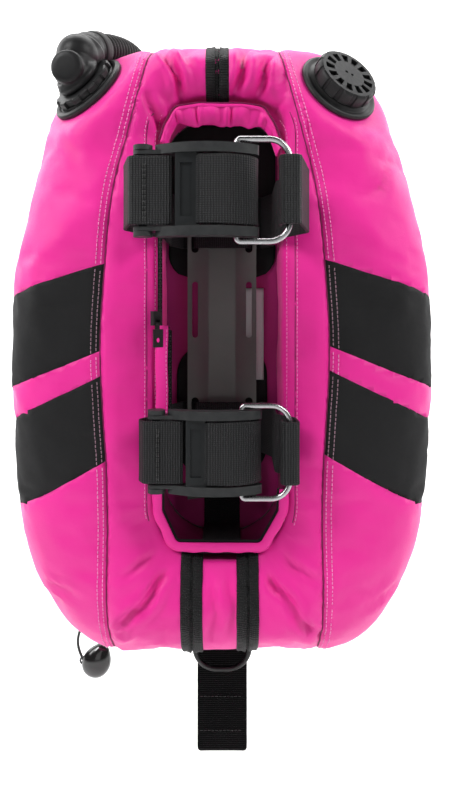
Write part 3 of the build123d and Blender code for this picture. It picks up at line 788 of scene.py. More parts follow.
CREASES = [  # (x, z) from, (x, z) to, depth: soft folds pulled by the zips and the well's corners
    ((-0.048, 0.254), (-0.030, 0.206), 0.0052), ((-0.028, 0.254), (-0.025, 0.222), 0.0018),
    ((0.023, 0.256), (0.011, 0.208), 0.0050), ((0.043, 0.246), (0.028, 0.207), 0.0046),
    ((0.056, 0.236), (0.046, 0.196), 0.0026), ((-0.060, 0.216), (-0.050, 0.170), 0.0026),
    ((-0.044, -0.188), (-0.094, -0.248), 0.0036), ((-0.052, -0.176), (-0.086, -0.190), 0.0020),
    ((0.038, -0.188), (0.086, -0.252), 0.0034), ((0.052, -0.174), (0.084, -0.200), 0.0018),
    ((-0.006, -0.195), (-0.008, -0.262), 0.0016), ((0.008, -0.190), (0.010, -0.250), 0.0014),
    ((0.132, 0.205), (0.112, 0.170), 0.0022), ((-0.135, 0.190), (-0.118, 0.150), 0.0018),
    ((0.150, 0.160), (0.120, 0.120), 0.0012), ((-0.160, -0.200), (-0.120, -0.215), 0.0014),
    ((0.160, -0.205), (0.115, -0.225), 0.0014),
]


def shape_fabric(obj):
    """Seam grooves and puckers, creases, fine cloth unevenness and flat seats under the valves."""
    mesh = obj.data
    normals = [v.normal.copy() for v in mesh.vertices]
    for v, normal in zip(mesh.vertices, normals):
        p = v.co
        front = max(0.0, min(1.0, (PERIMETER_Y - p.y) / 0.02))
        push = 0.0016 * noise.noise(p * 20) + 0.0007 * noise.noise(p * 60 + Vector((3, 1, 7)))
        gap = beyond_seam(p)
        near = math.exp(-(gap / 0.004) ** 2)
        ripple = math.sin(2 * math.pi * p.z / 0.013 + 3 * noise.noise(p * 30)) * math.exp(-abs(gap) / 0.012)
        push -= front * (0.0022 * near + 0.00045 * ripple)
        edge = abs(p.y - PERIMETER_Y)
        if outside_well(p):
            push -= 0.0016 * math.exp(-(edge / 0.003) ** 2)
        for start, end, depth in CREASES:
            push -= front * 1.9 * depth * crease_at(p, start, end)
        v.co = p + normal * push
    for centre, way, radius in VALVES.values():
        seat(mesh, Vector(centre), Vector(way).normalized(), radius)


def crease_at(p, start, end):
    """1 on a crease's line, fading over its width and at its ends, with a small ridge beside it."""
    ax, az = start
    bx, bz = end
    length = math.hypot(bx - ax, bz - az)
    ux, uz = (bx - ax) / length, (bz - az) / length
    along = (p.x - ax) * ux + (p.z - az) * uz
    off = (p.x - ax) * -uz + (p.z - az) * ux + 0.002 * math.sin(along * 160)
    fade = max(0.0, min(1.0, along / 0.012)) * max(0.0, min(1.0, (length - along) / 0.018))
    return fade * (math.exp(-(off / 0.0027) ** 2) - 0.5 * math.exp(-((abs(off) - 0.007) / 0.004) ** 2))


def seat(mesh, centre, way, radius):
    """Draws the fabric to the flat underside of a valve's flange."""
    for v in mesh.vertices:
        offset = v.co - centre
        height = offset.dot(way)
        spread = (offset - way * height).length
        if spread > radius * 2.1 or height < -0.045:
            continue
        pull = 1.0 if spread < radius * 1.04 else max(0.0, 1 - (spread / radius - 1.04) / 0.9)
        pull = pull * pull * (3 - 2 * pull)
        if height < -0.02:
            pull *= max(0.0, 1 - (-0.02 - height) / 0.025)
        v.co += way * ((-0.0004 - height) * pull)


def inflate(obj):
    """Cloth simulation: air pressure swells the panels between their pinned seams."""
    group = obj.vertex_groups.new(name="sewn")
    start = [v.co.copy() for v in obj.data.vertices]
    sewn = []
    for v in obj.data.vertices:
        p = v.co
        front = p.y < PERIMETER_Y - 0.01
        held = front and abs(beyond_seam(p)) < 0.0008
        held = held or (outside_well(p) and abs(p.y - PERIMETER_Y) < 0.0006)
        held = held or not clear_of_well(p) or near_valve(p)
        if held:
            sewn.append(v.index)
    group.add(sewn, 1.0, "REPLACE")
    mod = obj.modifiers.new("cloth", "CLOTH")
    settings = mod.settings
    settings.vertex_group_mass = "sewn"
    settings.use_pressure = True
    settings.uniform_pressure_force = 3.0
    settings.shrink_min = -0.012
    settings.quality = 4
    settings.mass = 0.25
    settings.tension_stiffness = 25
    settings.compression_stiffness = 20
    settings.shear_stiffness = 12
    settings.bending_stiffness = 0.4
    settings.effector_weights.gravity = 0
    mod.point_cache.frame_start = 1
    mod.point_cache.frame_end = 16
    scene = bpy.context.scene
    for number in range(1, 17):
        scene.frame_set(number)
    graph = bpy.context.evaluated_depsgraph_get()
    result = obj.evaluated_get(graph).to_mesh()
    ends = [v.co.copy() for v in result.vertices]
    obj.evaluated_get(graph).to_mesh_clear()
    obj.modifiers.remove(mod)
    scene.frame_set(1)
    for v, a, b in zip(obj.data.vertices, start, ends):
        move = b - a
        limit = 0.007
        if move.length > limit:
            move *= limit / move.length
        v.co = a + move
    obj.vertex_groups.clear()


def clear_of_well(p):
    """False on the well's wall and its rim, which stay where the bands pass."""
    z = min(max(p.z, SPINE_FOOT), SPINE_TOP)
    return math.hypot(p.x, p.z - z) > 0.060


def near_valve(p):
    return any((p - Vector(c)).length < r * 1.15 for c, _, r in VALVES.values())


def add_cell(m):
    """The whole cover as one swollen mesh, then parted into its sewn panels."""
    verts, faces = cell_mesh()
    whole = mesh_object("cell_whole", verts, faces)
    cut_seams(whole)
    inflate(whole)
    shape_fabric(whole)
    panels = {
        "wing_front_middle": (m["pink"], "coated_nylon", ["front_cover", "bladder"]),
        "wing_side_panels": (m["pink"], "coated_nylon", ["side_panels_left", "side_panels_right"]),
        "wing_side_bands": (m["black"], "black_fabric", ["side_bands_left", "side_bands_right"]),
        "wing_back": (m["back"], "coated_nylon", ["back_cover"]),
        # the foot wall gets the dark painted-shade pink
        "wing_well_foot": (m["foot"], "coated_nylon", []),
    }
    labels = [panel_of(p.center) for p in whole.data.polygons]
    for name, (material, slot, replaced) in panels.items():
        copy = whole.data.copy()
        copy.name = name
        obj = bpy.data.objects.new(name, copy)
        bpy.context.scene.collection.objects.link(obj)
        bm = bmesh.new()
        bm.from_mesh(copy)
        bm.faces.ensure_lookup_table()
        others = [bm.faces[k] for k, label in enumerate(labels) if label != name]
        bmesh.ops.delete(bm, geom=others, context="FACES")
        bm.to_mesh(copy)
        bm.free()
        finish_piece(thicken(obj, 0.0008), material, replaced)
    tree = mesh_tree(whole.data)
    bpy.data.objects.remove(whole)
    return tree


WALL_TOP, WALL_FRONT = -0.095, -0.082     # the well's foot wall, coloured dark pink as painted shade


def panel_of(p):
    if p.y > PERIMETER_Y and outside_well(p):
        return "wing_back"
    if p.y > -0.012:
        return "wing_back"
    if not outside_well(p) and p.z < WALL_TOP and p.y > WALL_FRONT:
        return "wing_well_foot"
    if beyond_seam(p) <= 0 or not outside_well(p):
        return "wing_front_middle"
    for upper, lower in ((0, 1), (2, 3)):
        if band_z(lower, p.x) < p.z < band_z(upper, p.x):
            return "wing_side_bands"
    return "wing_side_panels"


# ---------------------------------------------------------------- sewn detail on the air cell
def on_front(tree, x, z, lift=0.0):
    """The point of the front fabric at x, z, and its outward direction."""
    hit, normal, _, _ = tree.ray_cast(Vector((x, -0.3, z)), Vector((0, 1, 0)), 1)
    if hit is None:
        return None
    if normal.y > 0:
        normal = -normal
    return hit + normal * lift, normal


def front_row(tree, points, lift):
    row = [on_front(tree, x, z, lift) for x, z in points]
    return [item for item in row if item is not None and item[0].y < -0.028]


def add_seams(m, tree):
    """Long front seams: a dark line of painted seam shade and a double row of stitches each side."""
    pink, grey, dark = [], [], []
    heights = np.linspace(-0.272, 0.255, 240)
    for sign in (-1, 1):
        line = front_row(tree, [(COVER_SHIFT + sign * seam_x(z), z) for z in heights], 0.0001)
        dark.append(tube_mesh([p for p, _ in line], 0.00055, 6))
        for off in (0.0032, 0.0074):
            beside = [(COVER_SHIFT + sign * (seam_x(z) + off), z) for z in heights]
            for row, on_band in split_by_band(front_row(tree, beside, 0.0002)):
                (grey if on_band else pink).append(row)
    add_parts("seam_stitches", stitch_mesh(pink), m["thread"])
    add_parts("seam_stitches_on_bands", stitch_mesh(grey), m["grey_thread"])
    add_parts("seam_shade_lines", dark, m["piping"])


def split_by_band(row):
    """Parts a row of stitches where it runs beside a black band."""
    parts, current, flag = [], [], None
    for item in row:
        p = item[0]
        inside = any(band_z(b, p.x) < p.z < band_z(a, p.x) for a, b in ((0, 1), (2, 3)))
        if flag is not None and inside != flag:
            parts.append((current, flag))
            current = []
        current.append(item)
        flag = inside
    parts.append((current, flag))
    return [(row_part, inside) for row_part, inside in parts if len(row_part) > 3]


def well_outline(out, count=260):
    """(x, z) points round the well, a distance outside its wall."""
    half, top, foot, r_top, r_foot = 0.052, 0.210, -0.178, 0.035, 0.045
    points = []
    arcs = [((half - r_foot, foot + r_foot), r_foot, -90, 0),
            ((half - r_top, top - r_top), r_top, 0, 90),
            ((-half + r_top, top - r_top), r_top, 90, 180),
            ((-half + r_foot, foot + r_foot), r_foot, 180, 270)]
    for (cx, cz), radius, a0, a1 in arcs:
        for a in np.radians(np.linspace(a0, a1, 14)):
            points.append(Vector((cx + (radius + out) * math.cos(a), cz + (radius + out) * math.sin(a), 0)))
    points.append(points[0].copy())
    lengths = [0.0]
    for a, b in zip(points, points[1:]):
        lengths.append(lengths[-1] + (b - a).length)
    spots = np.linspace(0, lengths[-1], count)
    xs = np.interp(spots, lengths, [p.x for p in points])
    zs = np.interp(spots, lengths, [p.y for p in points])
    return list(zip(xs, zs))


def below_hem(points):
    """The part of a path round the well that the gathered hem leaves open, in order from left to right."""
    lowest = [p for p in points if p[1] < 0.197]
    start = max(range(len(lowest)), key=lambda k: math.dist(lowest[k], lowest[k - 1]))
    return lowest[start:] + lowest[:start]


RIM_FOOT = -0.150                         # the rows beside the well stop above its foot


def rim_row(tree, out, lift):
    """Left and right rows of points on the fabric beside the well."""
    row = [on_front(tree, x, z, lift) for x, z in below_hem(well_outline(out))]
    above = [item for item in row if item is not None and item[0].y < -0.06 and item[0].z > RIM_FOOT]
    return [item for item in above if item[0].x < 0], [item for item in above if item[0].x > 0]


def add_well_rim(m, tree):
    """Stitched edge of the opening, with a fine line of painted seam shade beside it."""
    seams = [tube_mesh([p for p, _ in side], 0.0004, 6) for side in rim_row(tree, 0.0105, 0.0)]
    add_parts("well_seam_shade", seams, m["piping"])
    rows = [side for out in (0.0040, 0.0122) for side in rim_row(tree, out, 0.0002)]
    add_parts("well_stitches", stitch_mesh(rows, *FINE_STITCH), m["thread"])
    add_foot_lip(m)


LIP_EDGE = [(-0.0500, -0.120), (-0.0500, -0.138), (-0.0375, -0.1650),
            (0.0335, -0.1655), (0.0490, -0.138), (0.0495, -0.120)]
LIP_SHARES = (1.0, 0.8, 0.45, 0.12, 0.0)


def add_foot_lip(m):
    """Folded lip across the foot of the well, with a black binding under it."""
    edge = [Vector((x, -0.0875, z)) for x, z in LIP_EDGE]
    line = evenly(rounded_path(edge, [0.006] * (len(edge) - 2), 0.001), 0.0015)
    verts, outer, inner = [], [], []
    for k, (point, tangent) in enumerate(zip(*frames_along(line)[:2])):
        out = tangent.cross(Vector((0, -1, 0))).normalized()
        width = 0.0075 + 0.0004 * math.sin(k * 0.5)
        for share in LIP_SHARES:
            bow = 0.0009 * math.sin(math.pi * share)
            verts.append(point + out * width * share + Vector((0, -bow, 0)))
        inner.append(point + Vector((0, 0.0020, 0)) - out * 0.0006)
        outer.append((point + out * 0.0022 + Vector((0, -0.0008, 0)), Vector((0, -1, 0))))
    lip = mesh_object("foot_lip", verts, grid_faces(len(line), len(LIP_SHARES)))
    finish_piece(thicken(lip, 0.0012), m["pink"])
    add_parts("foot_lip_stitches", stitch_mesh([outer], *FINE_STITCH), m["thread"])
    add_parts("foot_binding", [tube_mesh(inner, 0.0015, 8)], m["black"])


def tube_point(tree, x, centre_z, angle, lift):
    """Point of the fabric seen from the middle of the tube: angle 0 faces the front, positive turns up."""
    centre = Vector((x, MID_Y, centre_z))
    way = Vector((0, -math.cos(angle), math.sin(angle)))
    hit, normal, _, _ = tree.ray_cast(centre + way * 0.2, -way, 0.3)
    if hit is None:
        return None
    if normal.dot(way) < 0:
        normal = -normal
    return hit + normal * lift, normal


def add_zip(m, tree, name, x_mid, centre_z, angles, replaced, half=0.0098):
    """Two woven tapes, a moulded coil between them and cord edges, laid over the tube."""
    lines = []
    columns = [-1, -0.9, -0.6, -0.24, -0.15, 0.15, 0.24, 0.6, 0.9, 1]
    lifts = [0.0002, 0.0012, 0.0010, 0.0022, 0.0001, 0.0001, 0.0022, 0.0010, 0.0012, 0.0002]
    for angle in angles:
        row = [tube_point(tree, x_mid + c * half, centre_z, angle, lift) for c, lift in zip(columns, lifts)]
        if all(row):
            lines.append([p for p, _ in row])
    verts = [p for row in lines for p in row]
    middle = len(columns) // 2
    uvs, run = [], 0.0
    for k, row in enumerate(lines):
        if k:
            run += (row[middle] - lines[k - 1][middle]).length
        uvs += [(c * half, run) for c in columns]
    tape = mesh_object(name, verts, grid_faces(len(lines), len(columns)), uvs=uvs)
    finish_piece(thicken(tape, 0.0008), m["tape"], replaced)
    parts = []
    for k, point in enumerate(evenly([(row[4] + row[5]) / 2 for row in lines], 0.0015)):
        found = tree.find_nearest(point)
        normal = found[1] if found[1].y < 0.2 else -found[1]
        wide = 0.0013 if k % 2 else 0.0008
        side = Vector((wide, 0, 0))
        spot = point + normal * 0.0003
        parts.append(tube_mesh([spot - side, spot, spot + side], 0.0006, 6))
    add_parts(name + "_teeth", parts, m["teeth"])


FLAP_TOP, FLAP_FOOT = 0.018, -0.054      # below the slider the zip stands open and its flap shows


def add_inner_zip(m, tree):
    """Toothed zip on the well's left edge, closed above its slider; below it a stitched flap stands out."""
    rim_x, rim_y = -0.0512, -0.0885
    teeth = []
    for k, z in enumerate(np.arange(-0.116, 0.146, 0.0022)):
        x = rim_x + (0.0075 if FLAP_FOOT < z < FLAP_TOP else 0.0)
        spot = Vector((x, rim_y + 0.0012, z))
        side = Vector((0.0013 if k % 2 else 0.0006, 0, 0))
        teeth.append(tube_mesh([spot - side, spot, spot + side], 0.00075, 6))
    add_parts("inner_zip_teeth", teeth, m["teeth"])
    path = [Vector((rim_x - 0.0004, rim_y + 0.0022, z)) for z in np.linspace(-0.118, 0.148, 60)]
    webbing("inner_zip_tape", path, (1, 0.15, 0), m["tape"], ["inner_zip"], half=0.0020, thick=0.0007)
    low = [Vector((rim_x + 0.0066, rim_y + 0.0018, z)) for z in np.linspace(FLAP_FOOT, FLAP_TOP - 0.004, 30)]
    webbing("inner_zip_tape_open", low, (1, 0, 0), m["tape"], half=0.0032, thick=0.0007)
    verts, edge = [], []
    for z in np.linspace(FLAP_FOOT - 0.002, FLAP_TOP, 40):
        swell = 0.0003 * math.sin(z * 120)
        for x, y in ((-0.0040, 0.0004), (-0.0010, -0.0012), (0.0040, -0.0012), (0.0066, -0.0006)):
            verts.append(Vector((rim_x + x + swell, rim_y + y, z)))
        edge.append((verts[-1] + Vector((-0.0012, -0.0004, 0)), Vector((0, -1, 0))))
    flap = mesh_object("inner_zip_flap", verts, grid_faces(40, 4))
    finish_piece(thicken(flap, 0.0012), m["pink"])
    add_parts("flap_stitches", stitch_mesh([edge], *FINE_STITCH), m["thread"])


def add_piping(m, tree):
    """Corded edge where the front and back covers meet."""
    points = []
    for origin, way in stations()[::2]:
        start = Vector((origin.x, PERIMETER_Y, origin.z))
        hit = tree.ray_cast(start + way * 0.5, -way, 0.5)[0]
        if hit:
            points.append(hit + way * 0.0004)
    points.append(points[0])
    add_parts("perimeter_piping", [tube_mesh(points, 0.0016, 8)], m["black"])


HEM_PATH = [(-0.0500, 0.172), (-0.0455, 0.186), (-0.0375, 0.2005), (-0.018, 0.2035), (0.0, 0.2030),
            (0.018, 0.2030), (0.0345, 0.2005), (0.0435, 0.186), (0.0500, 0.168)]


def add_hem(m):
    """Gathered elastic hem that hangs across the top of the well."""
    corners = [Vector((x, -0.086, z)) for x, z in HEM_PATH]
    top = evenly(rounded_path(corners, [0.008] * (len(corners) - 2), 0.001), 0.0007)
    rows = 14
    verts, lower = [], []
    for k, point in enumerate(top):
        s = k / (len(top) - 1)
        drop = 0.0065 + 0.0085 * max(0.0, min(1.0, min(s, 1 - s) / 0.12 - 1.6))
        wander = noise.noise(Vector((s * 9, 0.3, 0)))
        fold = 0.7 * math.sin(2 * math.pi * (s * 7 + 0.9 * wander))
        fold += 0.3 * math.sin(2 * math.pi * (s * 16 + wander))
        inward = Vector((-0.35 * point.x / 0.05, 0, -1)).normalized()
        for j in range(rows):
            share = j / (rows - 1)
            length = drop * (1 + 0.05 * fold * share + 0.16 * noise.noise(Vector((s * 6, 2, 0))))
            out = 0.0004 + 0.0019 * math.sin(math.pi * min(1, share * 1.02)) ** 0.8
            place = point + inward * length * share
            place.y += fold * out + 0.006 * share ** 2
            verts.append(place)
        lower.append((verts[-1] + Vector((0, -0.0006, 0.0006)), Vector((0, -1, 0))))
    obj = mesh_object("gathered_hem", verts, grid_faces(len(top), rows, flip=True))
    finish_piece(thicken(obj, 0.0012), m["pink"], ["elastic_hem"])
    band = [p + Vector((0, -0.0004, 0.0006)) for p in top[::3]]
    add_parts("hem_band", [tube_mesh(band, 0.0019, 8)], m["pink"])
    # a thin dark line of painted shade along the hem's top edge
    line = [p + Vector((p.x * 0.05, -0.0008, 0.0030)) for p in top[::3]]
    add_parts("hem_piping", [tube_mesh(line, 0.0007, 6)], m["piping"])
    add_parts("hem_stitches", stitch_mesh([lower], 0.0020, 0.0016, 0.0006), m["thread"])


def cloth_sheet(name, half, y, z0, z1, corner, material, replaced, wave=0.0004):
    """A flat sewn panel with round corners and faint wrinkles."""
    count_x, count_z = 40, max(12, int((z1 - z0) / 0.005))
    verts = []
    for j in range(count_z + 1):
        z = z0 + (z1 - z0) * j / count_z
        into_corner = max(0.0, corner - min(z - z0, z1 - z))
        reach = half - corner + math.sqrt(max(0, corner ** 2 - into_corner ** 2))
        for i in range(count_x + 1):
            x = reach * (2 * i / count_x - 1)
            verts.append(Vector((x, y + wave * noise.noise(Vector((x * 40, z * 25, half * 90))), z)))
    obj = thicken(mesh_object(name, verts, grid_faces(count_z + 1, count_x + 1)), 0.0008, 0)
    finish_piece(obj, material, replaced)
    return obj


def add_well_lining(m):
    cloth_sheet("lining_panel", 0.060, 0.0054, -0.190, 0.222, 0.036, m["pink_dark"],
                ["centre_panel"])
    cloth_sheet("upper_patch", 0.052, 0.0038, 0.062, 0.214, 0.024, m["black"],
                ["centre_patches"], wave=0.0002)
    cloth_sheet("lower_patch", 0.044, 0.0038, -0.130, -0.001, 0.030, m["black"], [],
                wave=0.0002)
    path = rounded_path([(0, 0.0022, -0.150), (0, 0.0022, -0.1750), (0, -0.083, -0.1752)], [0.004], 0.002)
    webbing("centre_strap_web", path, (1, 0, 0), m["web"], ["centre_strap"], half=0.0172, thick=0.0014)
    verts = [Vector((x, 0.0022 + 0.0003 * math.sin(x * 400 + z * 60), z))
             for z in np.linspace(-0.036, 0.053, 20) for x in np.linspace(0.020, 0.0405, 8)]
    tag = mesh_object("blank_care_tag", verts, grid_faces(20, 8))
    finish_piece(thicken(tag, 0.0003), m["tag"])
    strip = rounded_path([(0.0245, 0.0040, 0.004), (0.0247, 0.0036, 0.052)], [])
    webbing("blank_label_strip", strip, (1, 0, 0), m["label"], half=0.0034, thick=0.0006)


# ---------------------------------------------------------------- cam bands
RING_BAR_X, RING_Y = 0.106, -0.005


class Band:
    """One cam band: its post and height as in the CAD model."""

    def __init__(self, name, post, z, flare):
        self.name, self.post, self.z, self.flare = name, post, z, flare

    def at(self, x, y, dz=0.0):
        return Vector((self.post[0] + x, self.post[1] + y, self.z + dz))

    def build(self, m):
        left = [(x, y, self.z) for x, y in self.flare[0]]
        right = [(x, y, self.z) for x, y in self.flare[1]]
        behind = [(0.048, -0.024), (0.038, -0.0005), (0.028, 0.001), (0.025, -0.0066)]
        behind = [(x, y, self.z) for x, y in behind]
        fold = 0.0065
        points = [self.at(0.0215, -fold), self.at(-0.009, -fold)] + left
        points += [(-x, y, z) for x, y, z in behind] + behind[::-1] + right
        points += [self.at(RING_BAR_X + fold, RING_Y - fold), self.at(RING_BAR_X - fold, RING_Y - fold),
                   self.at(RING_BAR_X - fold, RING_Y + fold)]
        radii = [0.005] + [0.009] * len(left) + [0.009, 0.004] + [0.0018] * 4 + [0.004, 0.009]
        radii += [0.009] * len(right) + [0.0045, 0.0045]
        path = rounded_path(points, radii, 0.0012)
        webbing(f"{self.name}_band_strap", path, (0, 0, 1), m["web"], [f"{self.name}_band_webbing"])
        self.add_stitches(m)
        over = [(0.0398, -0.003), (0.0402, -0.0128), (0.0615, -0.0133), (0.0822, -0.0042), (0.0826, 0.004)]
        pad = rounded_path([self.at(x, y) for x, y in over], [0.0022, 0.03, 0.016, 0.002], 0.0012)
        webbing(f"{self.name}_lever_strap", pad, (0, 0, 1), m["web"], [f"{self.name}_lever_webbing"],
                body=f"{self.name}_lever", half=0.0247)
        cad(f"{self.name}_buckle_lever", m["buckle"], 0.0012, 3)
        cad(f"{self.name}_pivot_post", m["buckle"], 0.0012, 3)
        ring = cad(f"{self.name}_wire_ring", m["steel"], 0)
        ring.data.polygons.foreach_set("use_smooth", [True] * len(ring.data.polygons))

    def add_stitches(self, m):
        rows = []
        outward = Vector((0, -1, 0))
        for x in (0.001, 0.0025):
            rows.append([(self.at(x, -0.0078, dz), outward) for dz in np.linspace(-0.022, 0.022, 30)])
        stitches = stitch_mesh(rows, 0.0026, 0.0012)
        add_parts(f"{self.name}_band_stitches", stitches, m["black_thread"])


# ---------------------------------------------------------------- valves
def crisp(obj, angle=32):
    """Keeps the hard edges of a moulded piece sharp under smooth shading."""
    split = obj.modifiers.new("crisp", "EDGE_SPLIT")
    split.split_angle = math.radians(angle)
    return obj


def valve_matrix(name):
    centre, way, _ = VALVES[name]
    turn = Vector((0, 0, 1)).rotation_difference(Vector(way).normalized()).to_matrix().to_4x4()
    return Matrix.Translation(Vector(centre)) @ turn


def add_valves(m):
    flange = [(0.004, 0.0), (0.0345, 0.0), (0.0358, 0.0008), (0.036, 0.0026), (0.0350, 0.0042),
              (0.0330, 0.0050), (0.0310, 0.0046), (0.0300, 0.0030), (0.0290, 0.0030), (0.0280, 0.0050),
              (0.0275, 0.0052), (0.004, 0.0052)]
    obj = joined("elbow_base", [revolved(flange, valve_matrix("elbow"), 72)])
    crisp(finish_piece(obj, m["valve"], ["elbow_flange"]))
    lugs = 10
    collar = [(0.0185, 0.0054), (0.0262, 0.0054), (0.0268, 0.0062), (0.0268, 0.0100),
              (0.0258, 0.0112), (0.0225, 0.0116), (0.0188, 0.0116)]

    def lug(angle, k):
        return 0.0024 if 0 < k < 5 and math.cos(angle * lugs) > 0.1 else 0.0
    obj = joined("elbow_ring", [revolved(collar, valve_matrix("elbow"), 240, lug)])
    crisp(finish_piece(obj, m["valve"], ["elbow_collar"]))
    add_elbow(m)
    for name in ("shoulder_dump", "rear_dump"):
        add_dump(m, name)


def add_elbow(m):
    """Swollen elbow that turns from the collar to the hose, with a clamp where the hose starts."""
    matrix = valve_matrix("elbow")
    exit_point = Vector(HOSE_ROUTE[0])
    way = (Vector(HOSE_ROUTE[1]) - exit_point).normalized()
    centre = matrix @ Vector((0, 0, 0.022))
    start = exit_point - way * 0.016
    crown = centre.lerp(start, 0.70) + Vector((-0.0032, -0.0035, -0.0010))
    neck = [(0.001, 0.0060), (0.0178, 0.0060), (0.0184, 0.012), (0.0205, 0.0135), (0.0208, 0.0165),
            (0.0192, 0.0190), (0.0182, 0.022), (0.001, 0.024)]
    parts = [revolved(neck, matrix, 48)]
    parts.append(tube_mesh([centre, centre.lerp(start, 0.5), start], 0.0172, 40))
    for spot, radius in ((centre, 0.0160), (start, 0.0160), (crown, 0.0190)):
        turns = np.linspace(0, math.pi, 20)
        ball = [(max(radius * math.sin(a), 0.0002), -radius * math.cos(a)) for a in turns]
        parts.append(revolved(ball, Matrix.Translation(spot), 40))
    parts.append(tube_mesh([start, exit_point - way * 0.010, exit_point - way * 0.001], 0.0154, 40))
    facing = Vector((-0.12, -0.98, -0.06)).normalized()
    turn = Vector((0, 0, 1)).rotation_difference(facing).to_matrix().to_4x4()
    cap = [(0.001, 0.002), (0.0140, 0.002), (0.0142, 0.0134), (0.0136, 0.0150), (0.0118, 0.0162),
           (0.0088, 0.0168), (0.001, 0.0170)]
    parts.append(revolved(cap, Matrix.Translation(centre) @ turn, 44))
    body = joined("elbow_shell", parts)
    remesh = body.modifiers.new("blend", "REMESH")
    remesh.mode = "VOXEL"
    remesh.voxel_size = 0.0008
    remesh.use_smooth_shade = True
    soften = body.modifiers.new("soften", "SMOOTH")
    soften.iterations = 5
    finish_piece(body, m["valve"], ["elbow_body"])
    line = [exit_point + way * d for d in (-0.0075, -0.004, 0.0, 0.002)]
    clamp = add_parts("hose_clamp", [tube_mesh(line, 0.0166, 48)], m["silicone"])
    clamp.modifiers.new("edge", "BEVEL").width = 0.0008


def add_spring(m, name, low, high):
    """Coil spring along the valve's axis, from height low to height high under the cap."""
    matrix = valve_matrix(name)
    wire, radius, whole_turn = 0.00045, 0.0075, 3.5 * 2 * math.pi
    line = []
    for a in np.linspace(0, whole_turn, 150):
        height = low + wire + (high - low - 2 * wire) * a / whole_turn
        line.append(matrix @ Vector((radius * math.cos(a), radius * math.sin(a), height)))
    coil = add_parts(f"{name}_coil", [tube_mesh(line, wire, 8)], m["steel"], [f"{name}_spring"])
    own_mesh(coil)


CAP_SLOTS = 13


def cap_face(matrix, size, top, around=CAP_SLOTS * 20):
    """Flat end of a purge cap with a ring of slots and two small key holes sunk into it."""
    radii = [0.0004, 0.0014, 0.0018, 0.0022, 0.0026, 0.0030, 0.0034, 0.0038, 0.0042, 0.0050]
    radii += [size * share for share in (0.56, 0.57, 0.70, 0.87, 0.88, 0.94, 1.0)]
    verts = []
    for radius in radii:
        for j in range(around):
            a = 2 * math.pi * j / around
            x, y = radius * math.cos(a), radius * math.sin(a)
            in_slot = size * 0.565 < radius < size * 0.875 and math.cos(a * CAP_SLOTS) > -0.15
            in_key = math.hypot(abs(x) - 0.0028, y) < 0.0013
            depth = 0.0032 if in_slot else 0.0015 if in_key else 0.0
            verts.append(matrix @ Vector((x, y, top - depth)))
    return verts, grid_faces(len(radii), around, wrap=True, flip=True) + [tuple(range(around))]


def add_dump(m, name):
    """Purge valve: dished flange, ribbed cap with a ring of slots and two small key holes."""
    matrix = valve_matrix(name)
    size = VALVES[name][2]
    rise = 0.0121 if name == "shoulder_dump" else 0.0091
    flange = [(0.004, 0.0), (size - 0.0012, 0.0), (size, 0.0010), (size, 0.0026), (size - 0.0012, 0.0040),
              (size - 0.0030, 0.0044), (size - 0.0046, 0.0034), (size - 0.0066, 0.0034),
              (size - 0.0072, 0.0058), (0.014, 0.0060), (0.004, 0.0060)]
    base = [revolved(flange, matrix, 80)]
    add_parts(f"{name}_base", base, m["valve"], [f"{name}_flange"])
    cap = size - 0.008
    top = 0.0062 + rise
    profile = [(0.0005, 0.0062), (cap - 0.0008, 0.0062), (cap, 0.0070), (cap, top - 0.0026),
               (cap - 0.0008, top - 0.0010), (cap - 0.0022, top - 0.0001)]

    def knurl(angle, k):
        return -0.0011 if 1 <= k <= 4 and math.cos(angle * CAP_SLOTS) < -0.55 else 0.0
    wall_verts, wall_faces = revolved(profile, matrix, 240, knurl)
    parts = [(wall_verts, wall_faces[:-1]), cap_face(matrix, cap - 0.0022, top)]
    body = joined(f"{name}_grille", parts)
    crisp(finish_piece(body, m["valve"], [f"{name}_cap"]))
    cad(f"{name}_poppet", m["silicone"], 0)
    add_spring(m, name, 0.0078, top - 0.0031)


def add_inflator(m):
    cad("inflator_body", m["valve"], 0.0012, 3)
    cad("inflate_button", m["red"], 0.0004)
    cad("deflate_button", m["silicone"], 0.0004)
    cad("inflator_nipple", m["steel"], 0.0006)
    cad("mouthpiece", m["silicone"], 0.0008)


# ---------------------------------------------------------------- harness and hardware
SHOULDER_ROUTE = [(-2.6, 150), (-2.6, 183), (9, 191), (62, 226), (84, 318), (122, 318),
                  (146, 235), (146, -20), (112, -84), (9, -104), (-2.6, -111), (-2.6, -142)]
SHOULDER_RADII = [4, 4, 24, 15, 18, 60, 60, 30, 4, 4]
PLATE_FRONT = 0.012


def side_matrix(sign):
    turn = Matrix.Rotation(math.radians(sign * 10), 4, "Z")
    return Matrix.Translation((sign * 0.032, PLATE_FRONT, 0)) @ turn


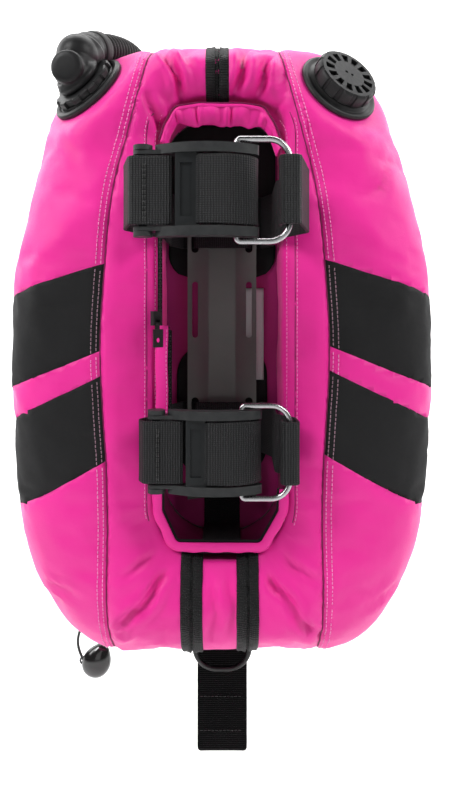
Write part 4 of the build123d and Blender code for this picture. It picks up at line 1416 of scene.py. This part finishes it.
def add_harness(m):
    for side, sign in (("left", -1), ("right", 1)):
        matrix = side_matrix(sign)
        route = [matrix @ Vector((sign * 0.050, y * MM, z * MM)) for y, z in SHOULDER_ROUTE]
        path = rounded_path(route, [r * MM for r in SHOULDER_RADII], 0.004)
        across = matrix.to_3x3() @ Vector((1, 0, 0))
        webbing(f"shoulder_web_{side}", path, across, m["web"], [f"shoulder_strap_{side}"])
        cad(f"shoulder_d_ring_{side}", m["steel"], 0)
    slot_points = ((0.0765, -0.0026, 0), (0.081, -0.0026, 0), (0.086, 0.009, 0))
    start = [side_matrix(1) @ Vector(p) for p in slot_points]
    waist = -0.110
    right = [Vector((p.x, p.y, waist)) for p in start]
    right += [Vector((0.136, 0.095, waist)), Vector((0.100, 0.168, waist))]
    route = right + [Vector((-p.x, p.y, p.z)) for p in reversed(right)]
    radii = [r * MM for r in (2.5, 12, 40, 30, 30, 40, 12, 2.5)]
    webbing("waist_web", rounded_path(route, radii, 0.003), (0, 0, 1), m["web"], ["waist_strap"])
    ahead = 0.0092
    hang = 0.0195
    foot = -0.409
    points = [(0, ahead, -0.147), (0, ahead, -0.154), (0, hang, -0.164), (0, hang, foot),
              (0, hang + 0.008, foot), (0, hang + 0.008, -0.322)]
    crotch = rounded_path(points, [0.004, 0.006, 0.0039, 0.0039], 0.0015)

    def foot_rounding(p):
        rise = max(0.0, 0.005 - (p.z - foot))
        return 0.005 - math.sqrt(max(0.0, 0.005 ** 2 - rise ** 2))
    webbing("crotch_web", crotch, (1, 0, 0), m["new_web"], ["crotch_strap"], narrowed=foot_rounding)
    rows = []
    for z in (-0.3535, -0.3875):
        spots = [Vector((x, hang - 0.0012, z)) for x in np.linspace(-0.022, 0.022, 30)]
        rows.append([(spot, Vector((0, -1, 0))) for spot in spots])
    add_parts("crotch_stitches", stitch_mesh(rows, 0.0026, 0.0012), m["black_thread"])
    cad("strap_keepers", m["steel"], 0.0008)
    cad("crotch_d_ring", m["dark_steel"], 0)
    cad("backplate", m["plate"], 0.0008)
    cad("waist_buckle_frame", m["steel"], 0.0008)
    cad("waist_buckle_lever", m["steel"], 0.0008)


def add_hardware(m):
    cad("tank_adapter", m["adapter"], 0.0007, 3)
    cad("adapter_bolts", m["dark_steel"], 0.0004)
    cad("adapter_washers", m["steel"], 0.0003)
    cad("adapter_wing_nuts", m["steel"], 0.001)
    cad("inner_zip_slider", m["teeth"], 0.0006)
    cad("inner_zip_pull", m["valve"], 0.0005)


# ---------------------------------------------------------------- build
add_camera()
materials = make_materials()
add_cords(materials)
add_studio()
cell = add_cell(materials)
add_seams(materials, cell)
add_well_rim(materials, cell)
add_piping(materials, cell)
add_zip(materials, cell, "top_zip", -0.003, 0.238, np.radians(np.arange(-62, 125, 2.0)), ["zip_top"])
add_zip(materials, cell, "left_zip", -0.0245, -0.228, np.radians(np.arange(62, -125, -2.0)), ["zips_bottom"],
        half=0.0087)
add_zip(materials, cell, "right_zip", 0.0225, -0.228, np.radians(np.arange(62, -125, -2.0)), [],
        half=0.0087)
add_inner_zip(materials, cell)
add_hem(materials)
add_well_lining(materials)
Band("upper", (-0.0555, -0.170), 0.116,
     ([(-0.073, -0.142), (-0.0475, -0.084)], [(0.0475, -0.084), (0.069, -0.128)])).build(materials)
Band("lower", (-0.051, -0.120), -0.0815,
     ([(-0.066, -0.114), (-0.046, -0.086)], [(0.0465, -0.086), (0.0605, -0.106)])).build(materials)
add_valves(materials)
add_inflator(materials)
add_harness(materials)
add_hardware(materials)
